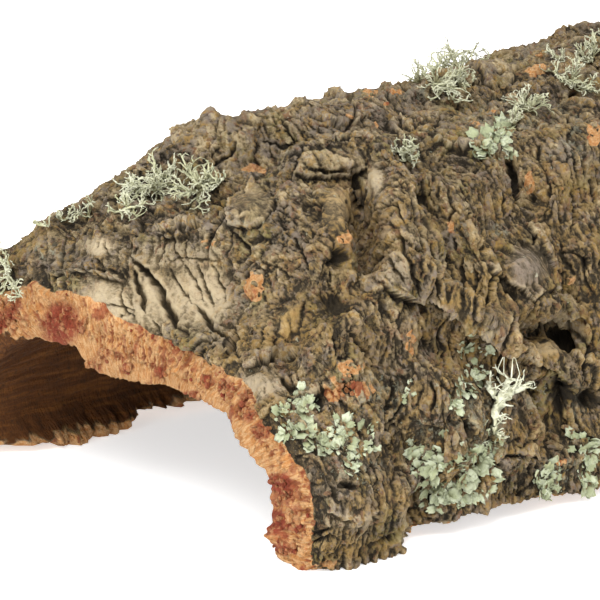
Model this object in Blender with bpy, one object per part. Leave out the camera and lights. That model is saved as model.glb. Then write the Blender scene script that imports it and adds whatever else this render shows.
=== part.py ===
"""Cork bark slab: an arched piece of virgin cork oak bark, lying on its two long edges like a tunnel,
with leafy and tufted lichens growing on its weathered outside.

Metres, +Z up. +X runs along the tunnel from the near end to the far end, and +Y from the right leg
to the left leg. The origin is the middle of the footprint, on the surface that the slab rests on.
"""

import math
import random

import bmesh
import bpy
import numpy as np
from mathutils import Matrix, Vector, noise
from mathutils.bvhtree import BVHTree

MM = 0.001

# Outside of the arch
LENGTH = 0.380
NEAR_RIGHT_REACH = 0.104    # how far each leg stands out from the line below the crown
NEAR_LEFT_REACH = 0.120
FAR_RIGHT_REACH = 0.113
FAR_LEFT_REACH = 0.121
NEAR_HEIGHT = 0.104
BODY_HEIGHT = 0.140
FAR_HEIGHT = 0.150
NEAR_SQUARENESS = 4.2       # superellipse exponent: 2 is round, more is boxier
BODY_SQUARENESS = 2.5
RISE_LENGTH = 0.100         # the near end grows to the full arch over this length

# Hollow under the arch
NEAR_LEG_THICKNESS = 0.022
FAR_LEG_THICKNESS = 0.020
NEAR_HOLLOW_HEIGHT = 0.064
BODY_HOLLOW_HEIGHT = 0.112
NEAR_HOLLOW_SQUARENESS = 3.4
BODY_HOLLOW_SQUARENESS = 2.9
SAG = 0.010                 # how much lower the ceiling hangs at the right of the near end

# Weathered rim of the near end, where the outer layers slope back from the fresh break
RIM_DROP_RIGHT = 0.028
RIM_DROP_LEFT = 0.012
RIM_REACH_RIGHT = 0.034
RIM_REACH_LEFT = 0.014

# Corky roughness of the outside
RIDGE_LENGTH = 0.045
RIDGE_WIDTH = 0.026
RIDGE_HEIGHT = 0.0055
LUMP_WIDTH = 0.012
LUMP_HEIGHT = 0.0024

# Long low waves of the inside
WAVE_LENGTH = 0.083
WAVE_WIDTH = 0.022
WAVE_HEIGHT = 0.0018

# Grid of the bark before it is thinned out
STATIONS = 150
AROUND = 110
END_ROWS = 5
SLAB_TRIANGLES = 9000

# Broken ends and feet
END_GRAIN = 0.008
END_ROUGHNESS = 0.0022
END_BULGE = 0.002
FOOT_ZONE = 0.030           # how far up the legs the ragged foot line reaches

# Lichens
CLEARANCE = 0.0003          # gap between a lichen and the bark it sits on
SEAT_STEP = 0.0002          # how finely a lichen is lowered onto the bark
LEAF_THICKNESS = 0.0012
NOTCH_REACH = 0.62          # how far the notches between lobes stay out, as a share of the lobes
TIP_CURL = 0.0022
RUFFLE = 0.0016
STRAND_RADIUS = 0.0013
TIP_RADIUS = 0.0007

# Ridges, knobs, furrows and hollows of the outside: from and to as (station in mm, share of the way
# round from the right foot to the left), half width in mm, height in mm, and minus for a hollow
OUTSIDE_FORMS = {
    "front_leg_swelling": ((8, 0.070), (36, 0.060), 28, 7),
    "furrow_between_swellings": ((46, 0.190), (56, 0.000), 12, -8),
    "flank_swelling": ((68, 0.110), (92, 0.095), 32, 7),
    "flank_ledge_upper": ((66, 0.275), (84, 0.215), 9, 7),
    "flank_ledge_lower": ((84, 0.215), (118, 0.155), 9, 7),
    "hollow_under_ledge": ((70, 0.190), (98, 0.150), 11, -4),
    "shoulder_knob": ((72, 0.445), (94, 0.405), 12, 9),
    "shoulder_slot": ((72, 0.370), (58, 0.302), 8, -21),
    "slot_column": ((60, 0.382), (50, 0.345), 7, 4),
    "slot_cheek": ((96, 0.382), (74, 0.300), 9, 7),
    "gully_below_slot": ((46, 0.285), (18, 0.290), 12, -8),
    "near_brow": ((5, 0.560), (30, 0.430), 10, 6),
    "round_plate": ((36, 0.445), (42, 0.415), 15, 5),
    "crown_step": ((54, 0.620), (76, 0.580), 28, 8),
    "crown_knob": ((98, 0.530), (122, 0.505), 20, 6),
    "crown_furrow": ((68, 0.530), (86, 0.490), 10, -7),
    "wall_seam": ((100, 0.335), (96, 0.215), 7, -7),
    "eye_hollow": ((114, 0.173), (142, 0.166), 9, -14),
    "eye_lid": ((112, 0.202), (146, 0.190), 9, 6),
    "lower_cave": ((124, 0.118), (128, 0.088), 9, -11),
    "grey_plate": ((122, 0.252), (127, 0.218), 14, 6),
    "plate_seam": ((150, 0.360), (150, 0.200), 8, -7),
    "top_furrow": ((176, 0.470), (226, 0.430), 11, -8),
    "top_ridge": ((150, 0.540), (236, 0.510), 17, 6),
    "far_shoulder_ridge": ((178, 0.350), (300, 0.320), 20, 7),
    "far_flank_furrow": ((178, 0.235), (330, 0.260), 12, -9),
    "far_flank_ridge": ((200, 0.140), (320, 0.150), 20, 7),
    "far_crown_hollow": ((290, 0.480), (345, 0.540), 20, -8),
    "left_shoulder_furrow": ((60, 0.740), (210, 0.700), 12, -9),
    "left_flank_ridge": ((40, 0.850), (180, 0.820), 20, 7),
    "left_flank_pit": ((214, 0.800), (232, 0.770), 14, -13),
    "left_far_ridge": ((230, 0.700), (350, 0.680), 20, 8),
    "left_foot_swelling": ((250, 0.930), (330, 0.910), 28, 7),
}

# Height of the feet above the ground in mm at stations in mm: what falls below 0 is worn flat
RIGHT_FOOT_LINE = ((0, -1), (34, -2), (56, 5), (80, 8), (118, 7), (150, 3), (210, 4), (258, -1.5),
                   (318, -2), (345, 3), (380, 6))
LEFT_FOOT_LINE = ((0, 4), (24, 3), (40, -2), (58, -1.5), (76, 5), (130, 4), (190, 6), (240, 3),
                  (275, -1.5), (330, -2), (352, 4), (380, 5))

# How far each end is broken back, in mm, at shares of the way round
NEAR_BREAK = ((0.0, 4), (0.05, 1), (0.12, 3), (0.20, 0), (0.30, 5), (0.42, 7), (0.52, 1), (0.62, -2),
              (0.75, 1), (0.86, -3), (1.0, 2))
FAR_BREAK = ((0.0, 3), (0.10, 9), (0.22, 4), (0.34, 10), (0.48, 2), (0.60, 8), (0.74, 3), (0.88, 9),
             (1.0, 5))

# Leafy lichens: (station in mm, share round), radius in mm, lobes, turn in degrees
LEAFY_LICHENS = {
    "leafy_lichen_leg_upper": ((8, 0.160), 11, 5, 20),
    "leafy_lichen_leg": ((18, 0.112), 15, 7, 75),
    "leafy_lichen_flank_low": ((74, 0.066), 20, 9, 10),
    "leafy_lichen_flank_high": ((62, 0.155), 13, 6, 50),
    "leafy_lichen_crown": ((151, 0.385), 14, 7, 0),
    "leafy_lichen_far_foot": ((128, 0.045), 13, 7, 30),
    "leafy_lichen_left": ((150, 0.790), 19, 8, 15),
    "leafy_lichen_far_end": ((300, 0.330), 17, 8, 40),
}

# Tufted lichens: (station in mm, share round), reach in mm, strands, heading in degrees from +X
# towards +Y, and spread in degrees
TUFTED_LICHENS = {
    "tufted_lichen_near_top": ((47, 0.578), 28, 7, 90, 220),
    "tufted_lichen_near_brow": ((25, 0.630), 28, 6, 160, 60),
    "tufted_lichen_rim": ((5, 0.690), 16, 5, 230, 90),
    "tufted_lichen_shoulder": ((103, 0.388), 14, 5, 100, 200),
    "tufted_lichen_ridge": ((168, 0.520), 25, 6, 130, 200),
    "tufted_lichen_far_top": ((228, 0.475), 30, 6, 20, 160),
    "tufted_lichen_flank": ((90, 0.148), 20, 6, 270, 130),
    "tufted_lichen_left": ((240, 0.640), 24, 6, 80, 200),
}


def smooth(low, high, value):
    """0 below low, 1 above high, and a soft ramp between them."""
    share = min(max((value - low) / (high - low), 0.0), 1.0)
    return share * share * (3.0 - 2.0 * share)


def mix(first, second, share):
    return first + (second - first) * share


def along_line(points, value):
    """Soft curve through (place, height) points, both in mm, read at one place."""
    for (place_a, height_a), (place_b, height_b) in zip(points, points[1:]):
        if value <= place_b:
            return mix(height_a, height_b, smooth(place_a, place_b, value))
    return points[-1][1]


def evenly(across, up, count):
    """The line through these points, cut into count equal steps, and its length."""
    walked = np.concatenate([[0.0], np.cumsum(np.hypot(np.diff(across), np.diff(up)))])
    wanted = np.linspace(0.0, walked[-1], count + 1)
    return np.interp(wanted, walked, across), np.interp(wanted, walked, up), walked[-1]


def superellipse(right_reach, left_reach, height, squareness):
    angle = np.linspace(0.0, math.pi, 721)
    power = 2.0 / squareness
    reach = np.where(np.cos(angle) > 0.0, -right_reach, left_reach)
    return reach * np.abs(np.cos(angle)) ** power, height * np.abs(np.sin(angle)) ** power


def leg_reaches(station, inset=0.0):
    """How far the right and left legs stand out at one station."""
    along = station / LENGTH
    return (mix(NEAR_RIGHT_REACH, FAR_RIGHT_REACH, along) - inset,
            mix(NEAR_LEFT_REACH, FAR_LEFT_REACH, along) - inset)


def outer_section(station):
    """The arch's outer line at one station, from the right foot to the left."""
    grown = smooth(0.0, RISE_LENGTH, station)
    body = mix(BODY_HEIGHT, FAR_HEIGHT, smooth(0.5, 1.0, station / LENGTH))
    height = mix(NEAR_HEIGHT, body, grown)
    squareness = mix(NEAR_SQUARENESS, BODY_SQUARENESS, grown)
    return evenly(*superellipse(*leg_reaches(station), height, squareness), AROUND)


def inner_section(station):
    """The hollow's line at one station, from the right foot to the left."""
    grown = smooth(0.0, RISE_LENGTH, station)
    leg = mix(NEAR_LEG_THICKNESS, FAR_LEG_THICKNESS, station / LENGTH)
    height = mix(NEAR_HOLLOW_HEIGHT, BODY_HOLLOW_HEIGHT, grown)
    squareness = mix(NEAR_HOLLOW_SQUARENESS, BODY_HOLLOW_SQUARENESS, grown)
    return evenly(*superellipse(*leg_reaches(station, leg), height, squareness), AROUND)


def stroke(form, station, around, girth):
    """How much one ridge or hollow lifts the bark here, in metres."""
    start, end, half_width, height = form
    first = Vector((start[0] * MM, start[1] * girth))
    last = Vector((end[0] * MM, end[1] * girth))
    here = Vector((station, around * girth))
    run = last - first
    share = min(max((here - first).dot(run) / run.length_squared, 0.0), 1.0)
    near = max(1.0 - ((here - mix(first, last, share)).length / (half_width * MM)) ** 2, 0.0)
    return height * MM * (near if height < 0 else near * near)


def bark_noise(point):
    """Corky ridges, longer along the trunk than across, with lumps on them."""
    ridge_place = Vector((point.x / RIDGE_LENGTH, point.y / RIDGE_WIDTH, point.z / RIDGE_WIDTH))
    ridges = 0.55 - 2.2 * abs(noise.noise(ridge_place))
    return RIDGE_HEIGHT * ridges + LUMP_HEIGHT * noise.noise(point / LUMP_WIDTH)


def outside_relief(point, station, around, girth):
    above_feet = smooth(0.0, 0.10, around) * smooth(0.0, 0.10, 1.0 - around)
    lift = bark_noise(point) * mix(0.6, 1.0, above_feet)
    for form in OUTSIDE_FORMS.values():
        lift += stroke(form, station, around, girth)
    left = smooth(0.42, 0.58, around)
    reach = mix(RIM_REACH_RIGHT, RIM_REACH_LEFT, left)
    drop = mix(RIM_DROP_RIGHT, RIM_DROP_LEFT, left)
    crown = smooth(0.08, 0.22, around) * smooth(0.06, 0.22, 1.0 - around)
    return lift - drop * crown * (1.0 - smooth(0.0, reach, station))


def inside_relief(point, around):
    """The belly of the bark: low waves along the trunk, and a sag on the right of the near end."""
    waves = WAVE_HEIGHT * noise.noise(Vector((point.x / WAVE_LENGTH, point.y / WAVE_WIDTH,
                                              point.z / WAVE_WIDTH)))
    sag = smooth(0.12, 0.24, around) * (1.0 - smooth(0.56, 0.62, around))
    return waves - SAG * sag * (1.0 - smooth(0.0, 0.06, point.x + 0.5 * LENGTH))


def surface_grid(section, relief):
    """Rows of points, one row for each station, moved along the surface's own normal by the relief."""
    stations = [LENGTH * i / STATIONS for i in range(STATIONS + 1)]
    lines = [section(station) for station in stations]
    plain = np.array([[(station - 0.5 * LENGTH, y, z) for y, z in zip(line[0], line[1])]
                      for station, line in zip(stations, lines)])
    normals = np.cross(np.gradient(plain, axis=0), np.gradient(plain, axis=1))
    normals /= np.linalg.norm(normals, axis=2, keepdims=True)
    moved = plain.copy()
    for i, station in enumerate(stations):
        for j in range(AROUND + 1):
            lift = relief(Vector(plain[i, j]), station, j / AROUND, lines[i][2])
            moved[i, j] += lift * normals[i, j]
    return moved


def shape_ends_and_feet(grid):
    """Breaks both ends back unevenly and gives the feet their ragged line."""
    for i in range(STATIONS + 1):
        along = i / STATIONS
        for j in range(AROUND + 1):
            around = j / AROUND
            near = along_line(NEAR_BREAK, around) * MM
            far = along_line(FAR_BREAK, around) * MM
            grid[i, j, 0] += near * (1.0 - smooth(0.0, 0.2, along)) - far * smooth(0.8, 1.0, along)
            foot_line = RIGHT_FOOT_LINE if around < 0.5 else LEFT_FOOT_LINE
            low = 1.0 - smooth(0.0, FOOT_ZONE, max(grid[i, j, 2], 0.0))
            grid[i, j, 2] += along_line(foot_line, along * LENGTH / MM) * MM * low
    return grid


def end_row(outer, inner, share, outward):
    """One row of the broken end face, between its outer and inner edges."""
    row = mix(outer, inner, share)
    for point in row:
        rough = noise.noise(Vector(point) / END_GRAIN)
        point[0] += outward * (END_ROUGHNESS * rough + END_BULGE * math.sin(math.pi * share))
    return row


def slab_mesh():
    outer = shape_ends_and_feet(surface_grid(outer_section, outside_relief))
    inner = shape_ends_and_feet(surface_grid(
        inner_section, lambda point, station, around, girth: inside_relief(point, around)))
    shares = [row / END_ROWS for row in range(1, END_ROWS)]
    far_rows = [end_row(outer[-1], inner[-1], share, 1.0) for share in shares]
    near_rows = [end_row(inner[0], outer[0], share, -1.0) for share in shares]
    loop_rows = [*outer, *far_rows, *inner[::-1], *near_rows]

    mesh = bmesh.new()
    rows = [[mesh.verts.new(point) for point in row] for row in loop_rows]
    for row, after in zip(rows, rows[1:] + rows[:1]):
        for j in range(AROUND):
            mesh.faces.new((row[j], after[j], after[j + 1], row[j + 1]))
    last = STATIONS + END_ROWS      # the inner surface's far row
    for j in (0, AROUND):
        for i in range(STATIONS):
            mesh.faces.new((rows[i][j], rows[i + 1][j], rows[last + STATIONS - i - 1][j],
                            rows[last + STATIONS - i][j]))
        mesh.faces.new([row[j] for row in rows[STATIONS:last + 1]])
        mesh.faces.new([row[j] for row in rows[last + STATIONS:]] + [rows[0][j]])
    bmesh.ops.triangulate(mesh, faces=mesh.faces)
    bmesh.ops.recalc_face_normals(mesh, faces=mesh.faces)
    return mesh


def add_object(name, mesh, look=None):
    data = bpy.data.meshes.new(name)
    mesh.to_mesh(data)
    mesh.free()
    obj = bpy.data.objects.new(name, data)
    if look:
        obj.data.materials.append(look)
    bpy.context.scene.collection.objects.link(obj)
    return obj


def material(name, colour, roughness):
    made = bpy.data.materials.new(name)
    made.use_nodes = True
    shader = made.node_tree.nodes["Principled BSDF"]
    shader.inputs["Base Color"].default_value = (*colour, 1.0)
    shader.inputs["Roughness"].default_value = roughness
    shader.inputs["Metallic"].default_value = 0.0
    return made


def freeze(obj):
    """Puts the object's modifiers into its mesh."""
    graph = bpy.context.evaluated_depsgraph_get()
    frozen = bpy.data.meshes.new_from_object(obj.evaluated_get(graph))
    obj.modifiers.clear()
    obj.data = frozen
    return obj


def ground_cutter():
    """Everything below the ground, which wears the lowest points of the feet flat."""
    mesh = bmesh.new()
    depth = 0.04
    bmesh.ops.create_cube(mesh, size=1.0, matrix=Matrix.Translation((0, 0, -0.5 * depth))
                          @ Matrix.Diagonal((2 * LENGTH, 4 * FAR_LEFT_REACH, depth, 1)))
    cutter = add_object("ground", mesh)
    cutter.hide_render = True
    cutter.display_type = "WIRE"
    return cutter


def make_slab():
    slab = add_object("cork_slab", slab_mesh(), material("cork_bark", (0.26, 0.20, 0.14), 0.95))
    thin = slab.modifiers.new("thin_out", "DECIMATE")
    thin.ratio = SLAB_TRIANGLES / len(slab.data.polygons)
    flat_feet = slab.modifiers.new("flat_feet", "BOOLEAN")
    flat_feet.operation = "DIFFERENCE"
    flat_feet.object = ground_cutter()
    bpy.context.view_layer.update()
    return freeze(slab)


class BarkSurface:
    """The finished bark, and where things grow on it."""

    def __init__(self, slab):
        self.tree = BVHTree.FromObject(slab, bpy.context.evaluated_depsgraph_get())

    def place(self, station, around):
        """Matrix whose origin is on the bark and whose Z is the arch's outward normal."""
        across, up, _ = outer_section(station)
        j = min(max(round(around * AROUND), 1), AROUND - 1)
        tangent = Vector((0.0, across[j + 1] - across[j - 1], up[j + 1] - up[j - 1])).normalized()
        out = Vector((1.0, 0.0, 0.0)).cross(tangent)
        out = out if out.dot(Vector((0.0, across[j], up[j]))) > 0 else -out
        centre = Vector((station - 0.5 * LENGTH, across[j], up[j]))
        hit = self.tree.ray_cast(centre + out * 0.06, -out)[0] or centre
        frame = Matrix((Vector((1.0, 0.0, 0.0)), out.cross(Vector((1.0, 0.0, 0.0))), out)).transposed()
        return Matrix.Translation(hit) @ frame.to_4x4()

    def height(self, frame, x, y):
        """Height of the bark over the frame's XY plane, or None off its edge."""
        out = frame.col[2].to_3d()
        above = frame @ Vector((x, y, 0.05))
        hit = self.tree.ray_cast(above, -out, 0.09)[0]
        return None if hit is None else (hit - above).dot(out) + 0.05

    def touches(self, obj):
        bpy.context.view_layer.update()
        graph = bpy.context.evaluated_depsgraph_get()
        return bool(BVHTree.FromObject(obj, graph).overlap(self.tree))

    def seat(self, obj, out):
        """Lifts a piece clear of the bark, then lowers it until it almost touches."""
        up, down = (Matrix.Translation(out * step) for step in (SEAT_STEP, -SEAT_STEP))
        while self.touches(obj):
            obj.data.transform(up)
        while not self.touches(obj):
            obj.data.transform(down)
        obj.data.transform(Matrix.Translation(out * (SEAT_STEP + CLEARANCE)))


def draped_height(bark, frame, x, y, deepest):
    """Height that a thin growth has here: on the bark, and across narrow cracks."""
    found = [bark.height(frame, x + dx, y + dy)
             for dx in (-0.0022, 0.0, 0.0022) for dy in (-0.0022, 0.0, 0.0022)]
    found = [height for height in found if height is not None]
    return max(found + [deepest])


def lobed_outline(lobes, turn, draw):
    """Angles and reaches of an uneven outline with notches between its lobes."""
    widths = [draw.uniform(0.7, 1.3) for _ in range(lobes)]
    reaches = [draw.uniform(0.68, 1.0) for _ in range(lobes)]
    angle = math.radians(turn)
    outline = []
    for width, reach in zip(widths, reaches):
        span = 2 * math.pi * width / sum(widths)
        outline += [(angle + span * share, reach * full)
                    for share, full in ((0.0, NOTCH_REACH), (0.25, 0.93), (0.5, 1.0), (0.75, 0.93))]
        angle += span
    return outline


def leafy_lichen(name, bark, place, radius, lobes, turn, look):
    """A rosette of flat, ruffled lobes that lies on the bark with its tips turned up."""
    frame = bark.place(place[0] * MM, place[1])
    draw = random.Random(name)
    outline = lobed_outline(lobes, turn, draw)
    mesh = bmesh.new()
    under, over = [], []
    for share in (0.34, 0.70, 1.0):
        low_ring, high_ring = [], []
        for angle, full in outline:
            reach = radius * MM * share * mix(mix(0.8, full, share), full, share)
            x, y = reach * math.cos(angle), reach * math.sin(angle)
            low = draped_height(bark, frame, x, y, -0.005)
            low += share ** 2 * (TIP_CURL * full + draw.uniform(0.0, RUFFLE))
            thick = LEAF_THICKNESS * mix(1.5, 1.0, share)
            low_ring.append(mesh.verts.new(frame @ Vector((x, y, low))))
            high_ring.append(mesh.verts.new(frame @ Vector((x, y, low + thick))))
        under.append(low_ring)
        over.append(high_ring)
    base = draped_height(bark, frame, 0.0, 0.0, -0.005)
    low_centre = mesh.verts.new(frame @ Vector((0.0, 0.0, base)))
    high_centre = mesh.verts.new(frame @ Vector((0.0, 0.0, base + 1.6 * LEAF_THICKNESS)))
    for k in range(len(outline)):
        n = (k + 1) % len(outline)
        mesh.faces.new((high_centre, over[0][k], over[0][n]))
        mesh.faces.new((low_centre, under[0][n], under[0][k]))
        for near, far in ((0, 1), (1, 2)):
            mesh.faces.new((over[near][k], over[far][k], over[far][n], over[near][n]))
            mesh.faces.new((under[near][k], under[near][n], under[far][n], under[far][k]))
        mesh.faces.new((over[-1][k], under[-1][k], under[-1][n], over[-1][n]))
    bmesh.ops.triangulate(mesh, faces=mesh.faces)
    lichen = add_object(name, mesh, look)
    bpy.context.view_layer.update()
    bark.seat(lichen, frame.col[2].to_3d())
    return lichen


def tube(points, radii, sides):
    """A tapered twig through the points, closed at both ends."""
    mesh = bmesh.new()
    rings = []
    for i, (point, radius) in enumerate(zip(points, radii)):
        before, after = points[max(i - 1, 0)], points[min(i + 1, len(points) - 1)]
        run = (after - before).normalized()
        side = run.orthogonal().normalized() if i == 0 else (side - run * side.dot(run)).normalized()
        ring = [mesh.verts.new(point + radius * (Matrix.Rotation(2 * math.pi * k / sides, 3, run) @ side))
                for k in range(sides)]
        rings.append(ring)
    for ring, after in zip(rings, rings[1:]):
        for k in range(sides):
            n = (k + 1) % sides
            mesh.faces.new((ring[k], ring[n], after[n], after[k]))
    mesh.faces.new(rings[0][::-1])
    mesh.faces.new(rings[-1])
    bmesh.ops.triangulate(mesh, faces=mesh.faces)
    bmesh.ops.recalc_face_normals(mesh, faces=mesh.faces)
    return mesh


def strand_path(bark, frame, start, heading, reach, steps, draw):
    """Points of one strand: it leaves the pad, lies along the bark and lifts at its tip."""
    points = [Vector(start)]
    for step in range(1, steps + 1):
        heading += draw.uniform(-0.35, 0.35)
        x = points[-1].x + reach / steps * math.cos(heading)
        y = points[-1].y + reach / steps * math.sin(heading)
        floor = draped_height(bark, frame, x, y, -0.004)
        lift = 0.0026 + 0.004 * (step / steps) ** 2 + draw.uniform(0.0, 0.0025)
        points.append(Vector((x, y, floor + lift)))
    return points


def tufted_lichen(name, bark, place, reach, strands, heading, spread, look):
    """A tuft of branching strands that all grow from one small pad."""
    draw = random.Random(name)
    frame = bark.place(place[0] * MM, place[1])
    base = draped_height(bark, frame, 0.0, 0.0, -0.005)
    pad_mesh = bmesh.new()
    bmesh.ops.create_cone(pad_mesh, cap_ends=True, segments=7, radius1=0.0042, radius2=0.0026, depth=0.0036,
                          matrix=frame @ Matrix.Translation((0.0, 0.0, base + 0.0020)))
    bmesh.ops.triangulate(pad_mesh, faces=pad_mesh.faces)
    pad = add_object(name, pad_mesh, look)
    twigs = bpy.data.collections.new(name + "_twigs")
    bpy.context.scene.collection.children.link(twigs)
    for k in range(strands):
        angle = math.radians(heading + spread * ((k + 0.5) / strands - 0.5) + draw.uniform(-9, 9))
        length = reach * MM * draw.uniform(0.65, 1.0)
        main = strand_path(bark, frame, (0.0, 0.0, base + 0.0022), angle, length, 3, draw)
        paths = [main]
        if k % 2:
            paths.append(strand_path(bark, frame, main[1], angle + draw.choice((-0.8, 0.8)),
                                     0.5 * length, 1, draw))
        for points in paths:
            radii = [mix(STRAND_RADIUS, TIP_RADIUS, i / (len(points) - 1)) for i in range(len(points))]
            twig_mesh = tube([frame @ point for point in points], radii, 3)
            twig = add_object(name + "_twig", twig_mesh, look)
            bpy.context.scene.collection.objects.unlink(twig)
            twigs.objects.link(twig)
    join = pad.modifiers.new("join_strands", "BOOLEAN")
    join.operation = "UNION"
    join.operand_type = "COLLECTION"
    join.collection = twigs
    join.solver = "MANIFOLD"
    bpy.context.view_layer.update()
    freeze(pad)
    for twig in list(twigs.objects):
        bpy.data.objects.remove(twig)
    bpy.data.collections.remove(twigs)
    bpy.context.view_layer.update()
    bark.seat(pad, frame.col[2].to_3d())
    return pad


def centre_on_footprint(objects):
    """Moves everything so that the origin is the middle of the box, on the ground."""
    corners = [obj.matrix_world @ Vector(corner) for obj in objects for corner in obj.bound_box]
    middle = [0.5 * (min(c[axis] for c in corners) + max(c[axis] for c in corners)) for axis in (0, 1)]
    for obj in objects:
        obj.data.transform(Matrix.Translation((-middle[0], -middle[1], 0.0)))
        obj.data.update()


def main():
    clear_scene()
    slab = make_slab()
    bark = BarkSurface(slab)
    leafy_look = material("leafy_lichen", (0.50, 0.55, 0.42), 0.9)
    tufted_look = material("tufted_lichen", (0.58, 0.60, 0.46), 0.9)
    lichens = [leafy_lichen(name, bark, *shape, leafy_look) for name, shape in LEAFY_LICHENS.items()]
    lichens += [tufted_lichen(name, bark, *shape, tufted_look) for name, shape in TUFTED_LICHENS.items()]
    bpy.context.view_layer.update()
    centre_on_footprint([slab, *lichens])


def clear_scene():
    for obj in list(bpy.data.objects):
        bpy.data.objects.remove(obj)


main()
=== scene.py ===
import math, random
import bpy, bmesh
import numpy as np
from mathutils import Matrix, Vector
from mathutils.bvhtree import BVHTree


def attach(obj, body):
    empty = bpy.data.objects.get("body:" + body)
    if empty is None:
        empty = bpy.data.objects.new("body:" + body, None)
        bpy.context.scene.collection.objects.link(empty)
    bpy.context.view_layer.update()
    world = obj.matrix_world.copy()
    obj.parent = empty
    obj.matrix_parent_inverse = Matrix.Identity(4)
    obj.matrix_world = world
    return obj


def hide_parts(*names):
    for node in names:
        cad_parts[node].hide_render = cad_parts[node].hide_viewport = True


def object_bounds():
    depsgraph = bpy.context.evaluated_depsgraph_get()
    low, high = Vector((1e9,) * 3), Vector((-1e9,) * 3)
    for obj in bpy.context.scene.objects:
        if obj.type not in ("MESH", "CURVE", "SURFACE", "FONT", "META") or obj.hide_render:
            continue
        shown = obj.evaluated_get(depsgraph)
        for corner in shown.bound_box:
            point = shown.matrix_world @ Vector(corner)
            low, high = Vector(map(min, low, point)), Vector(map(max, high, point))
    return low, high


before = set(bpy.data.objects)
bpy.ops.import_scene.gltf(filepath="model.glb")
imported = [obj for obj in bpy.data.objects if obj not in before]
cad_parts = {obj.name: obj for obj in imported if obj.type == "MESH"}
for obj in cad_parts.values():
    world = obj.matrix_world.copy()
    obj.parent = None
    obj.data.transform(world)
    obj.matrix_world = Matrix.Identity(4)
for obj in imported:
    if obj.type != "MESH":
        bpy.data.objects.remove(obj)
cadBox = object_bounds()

mm = 0.001
print("frame loaded", len(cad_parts), "nodes")


# small helpers

def smooth(low, high, value):
    share = np.clip((value - low) / (high - low), 0.0, 1.0)
    return share * share * (3.0 - 2.0 * share)


def deselectAll():
    if bpy.context.object and bpy.context.object.mode != "OBJECT":
        bpy.ops.object.mode_set(mode="OBJECT")
    bpy.ops.object.select_all(action="DESELECT")


def pick(piece):
    deselectAll()
    piece.select_set(True)
    bpy.context.view_layer.objects.active = piece


def applyModifier(piece, kind, **values):
    pick(piece)
    modifier = piece.modifiers.new(kind.lower(), kind)
    for name, value in values.items():
        setattr(modifier, name, value)
    bpy.ops.object.modifier_apply(modifier=modifier.name)


def newPiece(name, points, faces, material):
    data = bpy.data.meshes.new(name)
    data.from_pydata([tuple(p) for p in points], [], faces)
    data.update()
    piece = bpy.data.objects.new(name, data)
    bpy.context.scene.collection.objects.link(piece)
    piece.data.materials.append(material)
    return piece


def writeFloats(data, name, values):
    layer = data.attributes.new(name, "FLOAT", "POINT")
    layer.data.foreach_set("value", np.asarray(values, np.float32))


def writeVectors(data, name, values):
    layer = data.attributes.new(name, "FLOAT_VECTOR", "POINT")
    layer.data.foreach_set("vector", np.asarray(values, np.float32).ravel())


def triangleCount(faces):
    return sum(len(face) - 2 for face in faces)


def aboveFloor(points):
    for p in points:
        p.z = max(p.z, 0.0)


# camera, as the photo was taken: low from the right of the near end

cameraView = {
    "azimuth": -42.0,
    "elevation": 16.0,
    "distance": 2.0,
    "pixelsPerMetre": 2600.0,
    "nearFoot": (-0.18739, -0.10422, 0.0),  # lowest corner of the near right foot
    "nearFootPixel": (310.0, 575.0),        # and where the photo shows it
    "frameSize": 600.0,
    "sensor": 36.0,
}


def cameraAxes(view):
    a, e = math.radians(view["azimuth"]), math.radians(view["elevation"])
    back = Vector((math.sin(a) * math.cos(e), -math.cos(a) * math.cos(e), math.sin(e)))
    right = Vector((math.cos(a), math.sin(a), 0.0))
    return right, back.cross(right), back


def addCamera(view):
    right, up, back = cameraAxes(view)
    middle = view["frameSize"] / 2
    px, py = view["nearFootPixel"]
    aim = Vector(view["nearFoot"]) - right * ((px - middle) / view["pixelsPerMetre"])
    aim += up * ((py - middle) / view["pixelsPerMetre"])
    camera = bpy.data.objects.new("camera", bpy.data.cameras.new("camera"))
    bpy.context.scene.collection.objects.link(camera)
    place = Matrix((right, up, back)).transposed().to_4x4()
    place.translation = aim + back * view["distance"]
    camera.matrix_world = place
    camera.data.sensor_width = view["sensor"]
    camera.data.lens = view["pixelsPerMetre"] * view["distance"] / view["frameSize"] * view["sensor"]
    camera.data.clip_start = 0.01
    bpy.context.scene.camera = camera
    return camera


camera = addCamera(cameraView)
cameraPlace = np.array(camera.matrix_world.translation)
viewRight, viewUp, viewBack = (np.array(axis) for axis in cameraAxes(cameraView))


def photoPixels(points):
    rel = points - cameraPlace
    depth = -(rel @ viewBack)
    scale = cameraView["pixelsPerMetre"] * cameraView["distance"] / depth
    half = cameraView["frameSize"] / 2
    return np.stack([half + scale * (rel @ viewRight), half - scale * (rel @ viewUp)], axis=1)


def photoRay(px, py):
    half = cameraView["frameSize"] / 2
    reach = cameraView["pixelsPerMetre"] * cameraView["distance"]
    way = viewRight * (px - half) / reach - viewUp * (py - half) / reach - viewBack
    return Vector(cameraPlace), Vector(way).normalized()


# noise on whole arrays of points

draw = np.random.RandomState(7)
shuffle = np.tile(draw.permutation(256), 2)
slopes = draw.normal(size=(256, 3)).astype(np.float32)
slopes /= np.linalg.norm(slopes, axis=1, keepdims=True)
cellPlaces = draw.uniform(0.08, 0.92, (256, 3)).astype(np.float32)


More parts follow.
